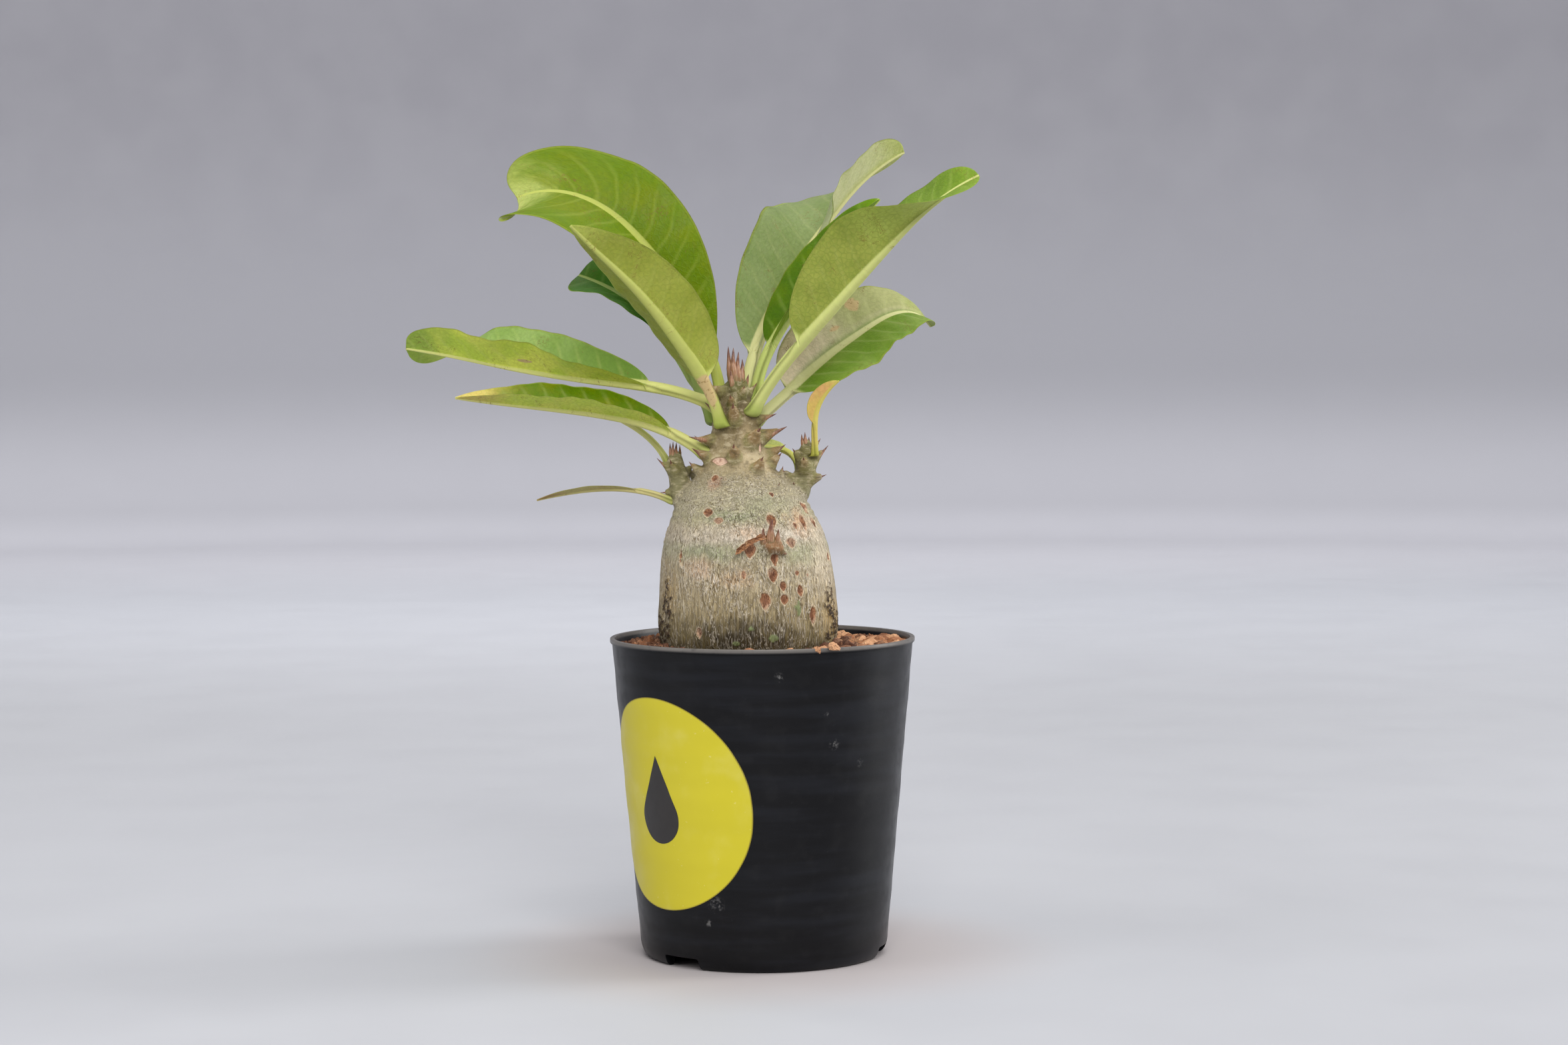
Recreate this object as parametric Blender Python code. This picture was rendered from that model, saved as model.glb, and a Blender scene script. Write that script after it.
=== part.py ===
"""A young pachypodium with a bottle-shaped trunk, in a black nursery pot.

Sizes are in millimetres and angles in degrees, and MM turns them into Blender's metres. +Z is up. The
origin is under the middle of the pot, on the ground. Compass angles run from +X through +Y, so 270 faces
the front.
"""

import math
import random

import bmesh
import bpy
import numpy as np
from mathutils import Matrix, Vector

MM = 0.001
GAP = 0.3  # kept between pieces that touch

# Pot
POT_HEIGHT = 94
RIM_RADIUS = 45
WALL_FOOT_RADIUS = 36.7  # of the wall, at the top of the rounded foot
FOOT_HEIGHT = 6
CONTACT_RADIUS = 34
FOOT_RING = 1.2  # width of the ring that the pot stands on
WALL = 1.0
LIP_HEIGHT = 1.6
LIP_BULGE = 0.35
LIP_ROUNDING = 0.4
FLOOR_UNDERSIDE = 2.5
FLOOR_TOP = 4
FLOOR_ROUNDING = (1.6, 2.5)  # inward and up, where the floor meets the wall
BOSS_RADIUS = 9
BOSS_DRAFT = 0.6
NOTCH_COMPASS = (108, 228, 348)
NOTCH_WIDTH = 14
NOTCH_HEIGHT = 2.2
DRAIN_RADIUS = 3.5
DRAIN_RING = 21
DRAIN_COUNT = 6
POT_STEPS = 56

# Label
LABEL_RADIUS = 31
LABEL_COMPASS = 222
LABEL_HEIGHT = 48
LABEL_LIFT = GAP
LABEL_THICKNESS = 0.3
LABEL_COLUMNS = 26
LABEL_END_ANGLE = 0.06  # radians short of the round's two ends, where the strips stop

# Soil
SOIL_LEVEL = 91.4
SOIL_SWELL = 0.42
SOIL_DIP = 1.6  # how far the soil has sunk at the back right
SOIL_DIP_PLACE = (30, 22)
SOIL_DIP_SPREAD = 9.5
SOIL_BANDS = 3
HOLE_ROOM = 0.45  # between the root and its hole
HOLE_DEEPER = 1.5
GRAIN_COUNT = 48
GRAIN_SIZE = (1.5, 2.5)  # half the granule's width
GRAIN_SPACING = 2.4
GRAIN_RISE = 0.25  # share of the size that the middle lies above the soil

# Trunk: height, middle in x, radius. The first points are the root inside the soil.
TRUNK = (
    (52, -3.9, 3.0),
    (62, -3.9, 8.0),
    (74, -3.9, 15.5),
    (84, -3.9, 21.3),
    (90, -3.9, 24.8),
    (94, -3.9, 26.1),
    (99, -3.9, 26.5),
    (105, -3.9, 26.2),
    (111, -4.1, 25.7),
    (117, -4.4, 25.0),
    (123, -4.7, 23.7),
    (129, -5.2, 21.5),
    (134, -5.8, 19.0),
    (138, -6.1, 16.3),
    (141, -6.4, 13.4),
    (144, -6.8, 10.8),
    (148, -7.4, 9.1),
    (153, -7.6, 7.4),
    (158, -7.7, 6.5),
    (163, -7.7, 5.1),
    (167, -7.7, 3.9),
    (170, -7.6, 3.0),
)
TRUNK_SIDES = 32
BARK_RELIEF = 0.25  # of the trunk's long folds
NECK_START = 148  # the folds have faded out here
FOLDS_FADE = 20

# Shoots: points of the axis and the radius at each
RIGHT_SHOOT = (
    ((2.0, 2.0, 128), 5.0),
    ((9.6, 2.5, 135.5), 4.6),
    ((12.0, 3.0, 141.5), 3.6),
    ((13.5, 3.0, 149), 2.5),
)
LEFT_SHOOT = (
    ((-17.0, 1.5, 127), 4.6),
    ((-22.6, 2.0, 134), 4.0),
    ((-24.4, 2.3, 140), 3.1),
    ((-25.4, 2.5, 147), 2.6),
)
FRONT_STUB = (
    ((1.2, -17, 121), 3.0),
    ((2.6, -22.6, 123.5), 2.7),
    ((2.8, -24, 125.5), 1.9),
)
SHOOT_SIDES = 8

# Spines on the trunk: height, compass, rise, length, size of the cushion that it stands on
TRUNK_SPINES = (
    (166.5, 203, 22, 8.5, 1.3),
    (160.0, 208, 35, 4.5, 1.6),
    (159.0, 268, 62, 3.4, 1.9),
    (166.0, 292, 45, 2.8, 0.9),
    (165.5, 358, 55, 3.0, 1.0),
    (157.6, 346, 14, 5.0, 1.6),
    (152.6, 352, 24, 7.5, 2.6),
    (152.0, 306, 55, 3.6, 2.0),
    (147.2, 352, 30, 5.0, 1.9),
    (144.8, 338, 42, 3.5, 1.5),
    (143.6, 298, 58, 3.2, 1.7),
    (141.0, 336, 74, 3.0, 1.2),
    (152.6, 214, 6, 8.0, 2.0),
    (146.0, 215, 26, 6.0, 2.1),
    (149.4, 267, 36, 3.4, 1.9),
    (142.6, 191, 42, 3.6, 1.6),
    (139.5, 250, 60, 2.2, 1.3),
    (137.6, 310, 55, 2.0, 1.2),
)
BACK_SPINE_COUNT = 13
BACK_SPINE_COMPASS = (50, 165)
BACK_SPINE_HEIGHT = (139, 156)
BACK_SPINE_ROOM = 4.5
BACK_SPINE_LENGTH = (3.0, 6.0)
CROWN_SPINES = (  # root in x and y from the trunk's middle, rise, length
    (-0.3, -0.9, 96, 10.6),
    (0.9, -0.6, 76, 10.2),
    (0.1, 0.8, 84, 8.4),
    (1.3, 0.3, 60, 7.4),
)

# Spines on a shoot: point of the root, point of the tip, size of the cushion
RIGHT_SHOOT_SPINES = (
    ((12.4, 2, 147), (11.6, 1.2, 153.4), 0.9),
    ((13.6, 2.4, 147), (12.7, 2.0, 153.8), 0.9),
    ((14.2, 3.4, 147), (13.9, 3.2, 153.4), 0.9),
    ((12.2, 2.6, 146.4), (9.1, 1.6, 148.8), 1.1),
    ((13.2, 1.0, 144.6), (13.0, -1.6, 146.6), 1.2),
    ((14.8, 4.2, 148), (17.6, 5.6, 151.8), 1.0),
    ((14.6, 2.8, 145.6), (19.5, 2.4, 149.3), 1.4),
    ((13.4, 2.6, 139.8), (18.9, 1.4, 141.4), 1.7),
    ((12.8, 5.0, 141.0), (15.0, 8.8, 143.4), 1.3),
    ((10.0, 0.4, 137.6), (9.6, -3.2, 139.6), 1.5),
)
LEFT_SHOOT_SPINES = (
    ((-25.9, 1.8, 145.4), (-27.2, 1.2, 151.2), 0.9),
    ((-25.4, 2.2, 145.4), (-25.4, 1.8, 151.4), 0.9),
    ((-24.9, 3.2, 145.4), (-24.2, 3.4, 151.2), 0.9),
    ((-25.6, 1.8, 142.6), (-30.6, 0.6, 146.6), 1.3),
    ((-24.9, 0.6, 143), (-26.8, -2.4, 146.2), 1.1),
    ((-24.4, 2.4, 137), (-29.6, 1.6, 136.2), 1.4),
    ((-22.9, 3.2, 141.6), (-20.6, 4.8, 144.8), 1.2),
    ((-24.6, 4.2, 140), (-26.4, 8.4, 142), 1.2),
)
STUB_SPINES = (
    ((2.2, -23.2, 124.4), (1.4, -25.6, 130.0), 0.8),
    ((2.9, -23.4, 124.6), (2.8, -26.2, 131.2), 0.8),
    ((3.4, -23.2, 124.2), (4.4, -25.6, 129.2), 0.8),
    ((1.4, -23.0, 123.6), (-6.8, -26.8, 120.8), 1.3),
)
SPINE_SIDES = 4
SPINE_THICKEST = 0.75
SPINE_TIP = 0.06
CUSHION_SUNK = 0.35  # share of a cushion's size that lies in the bark

# Leaves. base is the compass angle on the stem and the height, or a point of its own. heading, rise and roll
# are read at even steps along the whole leaf, fold along the blade. fullness is two powers: low ones fill out
# the base and the tip. waves are the height as a share of the half width, the count and the phase.
BLADE_THICKNESS = 0.6
LEAVES = {
    "leaf_01": dict(
        base=(130, 165), length=96, stalk=12, width=35, fullness=(0.75, 0.42), waves=(0.06, 3, 40),
        heading=(136, 154, 160, 163, 168, 176, 184), rise=(80, 63, 59, 51, 38, 13, -24),
        roll=(30, 50, 52, 52, 50, 46, 30), fold=(45, 30, 25, 10, -6),
    ),
    "leaf_02": dict(
        base=(241, 157.5), length=74, stalk=14, width=28, fullness=(0.35, 0.72), waves=(0.04, 2, 120),
        heading=(206, 204, 203, 202, 202), rise=(74, 55, 50, 42, 44),
        roll=(-50, -50, -48, -40, -32), fold=(56, 50, 40, 26),
    ),
    "leaf_03": dict(
        base=(146, 158.5), length=68, stalk=14, width=23, fullness=(1.1, 0.34), waves=(0.06, 2, 0),
        heading=(140, 141, 143, 146, 150), rise=(64, 52, 42, 28, 16),
        roll=(30, 36, 36, 36, 40), fold=(60, 56, 38, 12),
    ),
    "leaf_04": dict(
        base=(182, 162.6), length=96, stalk=20, width=29, fullness=(0.6, 0.4), waves=(0.05, 3, 0),
        heading=(171, 168, 168, 168, 168), rise=(24, 7, 8, 11, 8),
        roll=(20, 20, 15, 5, -45), fold=(45, 45, 50, 35, 0),
    ),
    "leaf_05": dict(
        base=(193, 149), length=75, stalk=11, width=21, fullness=(0.55, 0.75), waves=(0.04, 3, 60),
        heading=(187, 186, 186, 186), rise=(36, 12, 6, 8), roll=(12, 12, 12, 10), fold=(36, 34, 36, 32),
    ),
    "leaf_06": dict(
        base=(-27.2, 1.8, 134.6), length=40, stalk=9, width=8, fullness=(0.8, 0.8), waves=(0, 1, 0),
        heading=(182, 180, 178, 178), rise=(24, 4, -8, -14), roll=(0, -4, -8, -10), fold=(14, 10),
    ),
    "leaf_07": dict(
        base=(-27.7, 5.4, 145.4), length=36, stalk=20, width=11, fullness=(0.6, 0.7), waves=(0.04, 2, 0),
        heading=(160, 165, 168, 168), rise=(62, 36, 24, 12), roll=(20, 20, 20, 20), fold=(35, 20),
    ),
    "leaf_08": dict(
        base=(60, 166), length=106, stalk=13, width=37, fullness=(0.55, 0.5), waves=(0.05, 3, 80),
        heading=(67, 56, 51, 41, 28), rise=(67, 48, 44, 41, 25),
        roll=(0, -6, -10, 24, 40), fold=(55, 52, 46, 22, 12),
    ),
    "leaf_09": dict(
        base=(321, 161.5), length=97, stalk=25, width=33, fullness=(0.45, 0.52), waves=(0.03, 2, 30),
        heading=(-30, -27, -24, -21, -5), rise=(57, 45, 45, 42, 25),
        roll=(12, 12, 12, 8, -12, -42), fold=(62, 65, 64, 42, 18, 14),
    ),
    "leaf_10": dict(
        base=(16, 165.5), length=69, stalk=15, width=23, fullness=(0.5, 0.6), waves=(0.04, 2, 200),
        heading=(-3, 6, 0, 1), rise=(81, 55, 54, 46), roll=(-14, -16, -18, -15), fold=(32, 30, 27),
    ),
    "leaf_11": dict(
        base=(28, 158.2), length=74, stalk=14, width=31, fullness=(0.45, 0.6), waves=(0.07, 3, 150),
        heading=(30, 35, 35, 28, 44), rise=(36, 36, 30, 22, -45),
        roll=(-33, -33, -33, -33, -25), fold=(18, 15, 12),
    ),
    "leaf_12": dict(
        base=(15.6, -0.5, 147.8), length=24, stalk=9, width=7, fullness=(0.6, 0.8), waves=(0.03, 2, 0),
        heading=(20, 10, 0, -5), rise=(90, 88, 60, 36), roll=(10, 25, 30, 34), fold=(62, 54),
    ),
    "leaf_13": dict(
        base=(10.9, 7.2, 143.4), length=25, stalk=8, width=7, fullness=(0.6, 0.8), waves=(0.05, 2, 90),
        heading=(110, 150, 168, 176), rise=(64, 20, -2, -8), roll=(20, 20, 20, 20), fold=(20, 12),
    ),
}
SMALL_LEAVES = ("leaf_06", "leaf_07", "leaf_12", "leaf_13")
LEAF_STATIONS = 17
SMALL_LEAF_STATIONS = 10
STALK_HALF_WIDTH = 1.6
STALK_ROOM = 0.4  # about what is left between the bark and a leaf stalk
STALK_REACH = 0.85  # share of the stalk's half width that can turn toward the bark
SMALL_STALK_HALF_WIDTH = 0.8
RIB_DEPTH = (1.25, 0.3)  # of the midrib under the blade, in stalk half widths, at the stalk and at the tip
RIB_WIDTH = 1.7  # in rib depths
WAVE_OFFSET = 1.3  # radians between the waves of one margin and the middle
ACROSS = (-1.0, -0.55, -0.12, 0.0, 0.12, 0.55, 1.0)  # places across a blade, from margin to margin


def clear_scene():
    for old in list(bpy.data.objects):
        bpy.data.objects.remove(old, do_unlink=True)


def material(name, colour, roughness):
    made = bpy.data.materials.new(name)
    made.use_nodes = True
    shader = made.node_tree.nodes["Principled BSDF"]
    shader.inputs["Base Color"].default_value = (*colour, 1)
    shader.inputs["Roughness"].default_value = roughness
    shader.inputs["Metallic"].default_value = 0
    made.diffuse_color = (*colour, 1)
    return made


def add_object(name, points, faces, made_of=None, origin=(0, 0, 0)):
    """An object from points in millimetres, with its own origin at the given point."""
    mesh = bpy.data.meshes.new(name)
    local = (np.asarray(points, float) - np.asarray(origin, float)) * MM
    mesh.from_pydata(local.tolist(), [], faces)
    mesh.validate()
    shaped = bmesh.new()
    shaped.from_mesh(mesh)
    bmesh.ops.recalc_face_normals(shaped, faces=shaped.faces)
    shaped.to_mesh(mesh)
    shaped.free()
    mesh.shade_smooth()
    mesh.set_sharp_from_angle(angle=math.radians(40))
    if made_of:
        mesh.materials.append(made_of)
    piece = bpy.data.objects.new(name, mesh)
    piece.location = Vector(origin) * MM
    bpy.context.scene.collection.objects.link(piece)
    return piece


def ring_faces(rings, sides, first_closed=True, last_closed=True):
    """Triangles between rings of points that follow each other, with a flat cap at either end."""
    faces = []
    for ring in range(rings - 1):
        for side in range(sides):
            a = ring * sides + side
            b = ring * sides + (side + 1) % sides
            faces.append((a, b, b + sides))
            faces.append((a, b + sides, a + sides))
    if first_closed:
        faces.append(tuple(reversed(range(sides))))
    if last_closed:
        faces.append(tuple(range((rings - 1) * sides, rings * sides)))
    return faces


def smooth_between(values, along):
    """Values at even steps, joined by a smooth curve and read at along, from 0 to 1."""
    values = np.asarray(values, float)
    along = np.clip(np.asarray(along, float), 0, 1) * (len(values) - 1)
    index = np.minimum(along.astype(int), len(values) - 2)
    part = along - index
    here, after = values[index], values[index + 1]
    last = len(values) - 1
    before = np.where(index > 0, values[np.maximum(index - 1, 0)], 2 * here - after)
    later = np.where(index < last - 1, values[np.minimum(index + 2, last)], 2 * after - here)
    slope_in, slope_out = (after - before) / 2, (later - here) / 2
    change = after - here
    return (
        here
        + slope_in * part
        + (3 * change - 2 * slope_in - slope_out) * part**2
        + (slope_in + slope_out - 2 * change) * part**3
    )


def apply_boolean(target, operation, solver="EXACT", other=None, others=None):
    """Applies one Boolean and removes what it used."""
    change = target.modifiers.new("boolean", "BOOLEAN")
    change.operation = operation
    change.solver = solver
    if others:
        change.operand_type = "COLLECTION"
        change.collection = others
    else:
        change.object = other
    bpy.context.view_layer.update()
    evaluated = target.evaluated_get(bpy.context.evaluated_depsgraph_get())
    mesh = bpy.data.meshes.new_from_object(evaluated)
    target.modifiers.clear()
    old = target.data
    target.data = mesh
    mesh.name = target.name
    bpy.data.meshes.remove(old)
    used = list(others.objects) if others else [other]
    for piece in used:
        bpy.data.objects.remove(piece, do_unlink=True)
    if others:
        bpy.data.collections.remove(others)


def helper_collection(name, pieces):
    """Moves pieces into a collection of their own, so that one Boolean can take them all."""
    group = bpy.data.collections.new(name)
    bpy.context.scene.collection.children.link(group)
    for piece in pieces:
        for holder in list(piece.users_collection):
            holder.objects.unlink(piece)
        group.objects.link(piece)
        piece.hide_render = True
        piece.display_type = "WIRE"
    return group


def on_circle(compass, radius, middle_x=0.0):
    angle = math.radians(compass)
    return middle_x + radius * math.cos(angle), radius * math.sin(angle)


# The pot and its label


def wall_radius(height):
    """Outer radius of the pot's wall, above its rounded foot."""
    share = (height - FOOT_HEIGHT) / (POT_HEIGHT - FOOT_HEIGHT)
    return WALL_FOOT_RADIUS + share * (RIM_RADIUS - LIP_BULGE - WALL_FOOT_RADIUS)


def pot_profile():
    """Radius and height round the pot's section, from the lip down the outside and back up the inside."""
    lip_bottom = POT_HEIGHT - LIP_HEIGHT
    lip = [
        (RIM_RADIUS - LIP_ROUNDING, POT_HEIGHT),
        (RIM_RADIUS, POT_HEIGHT - LIP_ROUNDING),
        (RIM_RADIUS, lip_bottom + LIP_ROUNDING),
        (wall_radius(lip_bottom), lip_bottom),
    ]
    foot = []
    for degrees in (0, 30, 60, 90):
        angle = math.radians(degrees)
        radius = CONTACT_RADIUS + (WALL_FOOT_RADIUS - CONTACT_RADIUS) * math.cos(angle)
        foot.append((radius, FOOT_HEIGHT * (1 - math.sin(angle))))
    ring_inner = CONTACT_RADIUS - FOOT_RING
    under = [
        (ring_inner, 0),
        (ring_inner - 0.5, FLOOR_UNDERSIDE),
        (BOSS_RADIUS + BOSS_DRAFT, FLOOR_UNDERSIDE),
        (BOSS_RADIUS, 0),
    ]
    inward, up = FLOOR_ROUNDING
    foot_inside = wall_radius(FOOT_HEIGHT) - WALL
    mouth = wall_radius(POT_HEIGHT) - WALL
    inside = [
        (foot_inside - inward, FLOOR_TOP),
        (foot_inside, FLOOR_TOP + up),
        (mouth, POT_HEIGHT - LIP_ROUNDING),
        (mouth + LIP_ROUNDING, POT_HEIGHT),
    ]
    return lip + foot + under, inside


def turned_points(profile, steps):
    points = []
    for radius, height in profile:
        for step in range(steps):
            x, y = on_circle(360 * step / steps, radius)
            points.append((x, y, height))
    return points


def block(name, size, location, turn):
    """A box cutter, turned round +Z."""
    bpy.ops.mesh.primitive_cube_add(size=1)
    made = bpy.context.object
    made.name = name
    made.data.transform(Matrix.Diagonal((*(length * MM for length in size), 1)))
    made.location = Vector(location) * MM
    made.rotation_euler = (0, 0, math.radians(turn))
    return made


def drain_cutter(compass):
    bpy.ops.mesh.primitive_cylinder_add(vertices=12, radius=DRAIN_RADIUS * MM, depth=3 * FLOOR_TOP * MM)
    made = bpy.context.object
    x, y = on_circle(compass, DRAIN_RING)
    made.location = Vector((x, y, FLOOR_TOP)) * MM
    return made


def notch_cutter(compass):
    """A block that reaches through the foot ring, with its middle on the ground."""
    x, y = on_circle(compass, CONTACT_RADIUS + 1)
    return block("notch", (8, NOTCH_WIDTH, 2 * NOTCH_HEIGHT), (x, y, 0), compass)


def add_pot():
    outer, inner = pot_profile()
    steps = POT_STEPS
    points = turned_points(outer, steps) + turned_points(inner, steps)
    faces = ring_faces(len(outer), steps, False, True)
    shift = len(outer) * steps
    faces += [tuple(i + shift for i in face) for face in ring_faces(len(inner), steps, True, False)]
    last = (len(outer) + len(inner) - 1) * steps
    for side in range(steps):
        after = (side + 1) % steps
        faces.append((last + side, last + after, after))
        faces.append((last + side, after, side))
    made = add_object("pot", points, faces, material("black plastic", (0.018, 0.018, 0.020), 0.42))
    cutters = [notch_cutter(compass) for compass in NOTCH_COMPASS]
    cutters += [drain_cutter(360 * hole / DRAIN_COUNT) for hole in range(DRAIN_COUNT)]
    apply_boolean(made, "DIFFERENCE", others=helper_collection("pot cutters", cutters))
    return made


def label_point(across, up, lift):
    """A point of the flat round label, wrapped on the pot's wall."""
    height = LABEL_HEIGHT + up
    radius = wall_radius(height) + lift
    compass = LABEL_COMPASS + math.degrees(across / radius)
    x, y = on_circle(compass, radius)
    return x, y, height


def add_label():
    """A round of paper made of upright strips, each as straight as the wall behind it."""
    points = []
    for column in range(LABEL_COLUMNS + 1):
        angle = LABEL_END_ANGLE + (math.pi - 2 * LABEL_END_ANGLE) * column / LABEL_COLUMNS
        across = -LABEL_RADIUS * math.cos(angle)
        half_height = LABEL_RADIUS * math.sin(angle)
        for lift, up in ((0, -1), (1, -1), (1, 1), (0, 1)):
            points.append(label_point(across, up * half_height, LABEL_LIFT + lift * LABEL_THICKNESS))
    faces = ring_faces(LABEL_COLUMNS + 1, 4)
    return add_object("label", points, faces, material("yellow paper", (0.78, 0.72, 0.05), 0.5))


# The trunk and its spines


def trunk_at(height):
    """Middle in x and radius of the trunk at a height."""
    heights, middles, radii = zip(*TRUNK)
    return float(np.interp(height, heights, middles)), float(np.interp(height, heights, radii))


def bark_swell(angle, height):
    """Long, slight folds that run up the trunk and fade out on the neck."""
    above = min(1.0, max(0.0, (NECK_START - height) / FOLDS_FADE))
    below = min(1.0, max(0.0, (height - SOIL_LEVEL + 3) / 8))
    folds = math.sin(5 * angle + 0.05 * height) + 0.7 * math.sin(9 * angle - 0.08 * height + 1.3)
    return BARK_RELIEF * above * below * folds


def add_trunk():
    points = []
    for height, middle, radius in TRUNK:
        for side in range(TRUNK_SIDES):
            angle = 2 * math.pi * side / TRUNK_SIDES
            swollen = radius + bark_swell(angle, height)
            points.append((middle + swollen * math.cos(angle), swollen * math.sin(angle), height))
    bark = material("bark", (0.42, 0.38, 0.26), 0.8)
    return add_object("caudex", points, ring_faces(len(TRUNK), TRUNK_SIDES), bark)


def frame_along(direction):
    """Two directions square to the given one and to each other."""
    direction = Vector(direction).normalized()
    aside = direction.orthogonal().normalized()
    return direction, aside, direction.cross(aside)


def tube(name, stations, sides):
    """A closed round tube through points, with a radius at each."""
    middles = [Vector(point) for point, _ in stations]
    points = []
    aside = None
    for index, (_, radius) in enumerate(stations):
        before = middles[max(index - 1, 0)]
        after = middles[min(index + 1, len(middles) - 1)]
        direction, square, _ = frame_along(after - before)
        aside = square if aside is None else (aside - aside.dot(direction) * direction).normalized()
        across = direction.cross(aside)
        for side in range(sides):
            angle = 2 * math.pi * side / sides
            points.append(middles[index] + radius * (aside * math.cos(angle) + across * math.sin(angle)))
    return add_object(name, points, ring_faces(len(stations), sides))


def spine(root, tip, cushion):
    """A spine on its cushion. The root lies inside the bark."""
    root, tip = Vector(root), Vector(tip)
    reach = tip - root
    outward = reach.normalized()
    stations = (
        (root - outward * cushion, cushion),
        (root + outward * 1.1 * cushion, min(SPINE_THICKEST, 0.45 * cushion)),
        (tip, SPINE_TIP),
    )
    return tube("spine", stations, SPINE_SIDES)


def trunk_spine(height, compass, rise, length, cushion):
    middle, radius = trunk_at(height)
    sunk = CUSHION_SUNK * cushion
    root = Vector((*on_circle(compass, radius - sunk, middle), height))
    outward = Vector((*on_circle(compass, math.cos(math.radians(rise))), math.sin(math.radians(rise))))
    return spine(root, root + outward * (length + sunk), cushion)


def back_spines():
    """Spines on the side that faces away, at seeded places that keep apart."""
    draw = random.Random(7)
    placed = []
    while len(placed) < BACK_SPINE_COUNT:
        height = draw.uniform(*BACK_SPINE_HEIGHT)
        compass = draw.uniform(*BACK_SPINE_COMPASS)
        _, radius = trunk_at(height)
        place = Vector((*on_circle(compass, radius), height))
        taken = [other for other, _, _ in placed] + [Vector(leaf_base(leaf)) for leaf in LEAVES.values()]
        if all((place - other).length > BACK_SPINE_ROOM for other in taken):
            placed.append((place, height, compass))
    made = []
    for _, height, compass in placed:
        rise, length, cushion = draw.uniform(15, 50), draw.uniform(*BACK_SPINE_LENGTH), draw.uniform(1.2, 2.0)
        made.append(trunk_spine(height, compass, rise, length, cushion))
    return made


def crown_spines():
    height, middle, _ = TRUNK[-1]
    made = []
    for aside, depth, rise, length in CROWN_SPINES:
        root = Vector((middle + aside, depth, height - 1.2))
        lean = math.radians(rise)
        upward = Vector((math.cos(lean), 0.15 * depth, math.sin(lean)))
        made.append(spine(root, root + length * upward, 1.0))
    return made


def add_caudex():
    made = add_trunk()
    pieces = [
        tube("right shoot", RIGHT_SHOOT, SHOOT_SIDES),
        tube("left shoot", LEFT_SHOOT, SHOOT_SIDES),
        tube("front stub", FRONT_STUB, SHOOT_SIDES),
    ]
    pieces += [trunk_spine(*values) for values in TRUNK_SPINES]
    pieces += [spine(*ends) for ends in RIGHT_SHOOT_SPINES + LEFT_SHOOT_SPINES + STUB_SPINES]
    pieces += crown_spines() + back_spines()
    apply_boolean(made, "UNION", "MANIFOLD", others=helper_collection("spines", pieces))
    return made


# The soil


def grain(place, radius, draw):
    """A rough clay granule: a block with its corners drawn in by seeded amounts."""
    bpy.ops.mesh.primitive_cube_add(size=1.25)
    made = bpy.context.object
    for corner in made.data.vertices:
        corner.co *= draw.uniform(0.8, 1.15)
    size = Matrix.Diagonal((radius * draw.uniform(0.9, 1.2), radius, radius * draw.uniform(0.8, 1.0), 1))
    turn = Matrix.Rotation(draw.uniform(0, 6.28), 4, "Z") @ Matrix.Rotation(draw.uniform(0.3, 0.9), 4, "X")
    made.data.transform(Matrix.Scale(MM, 4) @ turn @ size)
    made.location = Vector(place) * MM
    return made


def soil_top(x, y):
    """Height of the soil, with low swells and a dip at the back right."""
    swell = math.sin(0.31 * x + 1.2) * math.cos(0.27 * y - 0.4) + 0.6 * math.sin(0.9 * x + 0.7 * y)
    away = math.dist((x, y), SOIL_DIP_PLACE) / SOIL_DIP_SPREAD
    return SOIL_LEVEL + SOIL_SWELL * swell - SOIL_DIP * math.exp(-(away**2) / 2)


def soil_outer_radius(height):
    return wall_radius(height) - WALL - GAP


def soil_points():
    """Rings up the root's hole, out over the top and down the pot's wall."""
    turns = [360 * step / POT_STEPS for step in range(POT_STEPS)]
    root = [row for row in TRUNK if row[0] < SOIL_LEVEL]
    points = []
    for height, middle, radius in root:
        points += [(*on_circle(turn, radius + HOLE_ROOM, middle), height - HOLE_DEEPER) for turn in turns]
    middle, radius = trunk_at(SOIL_LEVEL)
    for band in range(SOIL_BANDS + 1):
        for turn in turns:
            near = Vector(on_circle(turn, radius + 2 * GAP, middle))
            x, y = near.lerp(Vector(on_circle(turn, soil_outer_radius(SOIL_LEVEL))), band / SOIL_BANDS)
            points.append((x, y, soil_top(x, y)))
    for height, inward in ((FLOOR_TOP + 3 + GAP, 0), (FLOOR_TOP + GAP, 2.2)):
        points += [(*on_circle(turn, soil_outer_radius(height) - inward), height) for turn in turns]
    return points, len(root) + SOIL_BANDS + 3


def grains():
    """Granules at seeded places between the trunk and the pot's wall."""
    draw = random.Random(3)
    middle, radius = trunk_at(SOIL_LEVEL)
    made, places = [], []
    while len(made) < GRAIN_COUNT:
        size = draw.uniform(*GRAIN_SIZE)
        compass = draw.uniform(0, 360)
        near = radius + 1.4 * size + 1.8
        far = soil_outer_radius(SOIL_LEVEL) - 1.5 * size
        reach = draw.uniform(near, far)
        place = on_circle(compass, reach, middle * (far - reach) / (far - near))
        if any(math.dist(place, other) < GRAIN_SPACING for other in places):
            continue
        places.append(place)
        made.append(grain((*place, soil_top(*place) + GRAIN_RISE * size), size, draw))
    return made


def add_soil():
    points, rings = soil_points()
    clay = material("baked clay", (0.20, 0.09, 0.045), 0.9)
    made = add_object("soil", points, ring_faces(rings, POT_STEPS), clay)
    apply_boolean(made, "UNION", others=helper_collection("grains", grains()))
    return made


# The leaves


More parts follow.
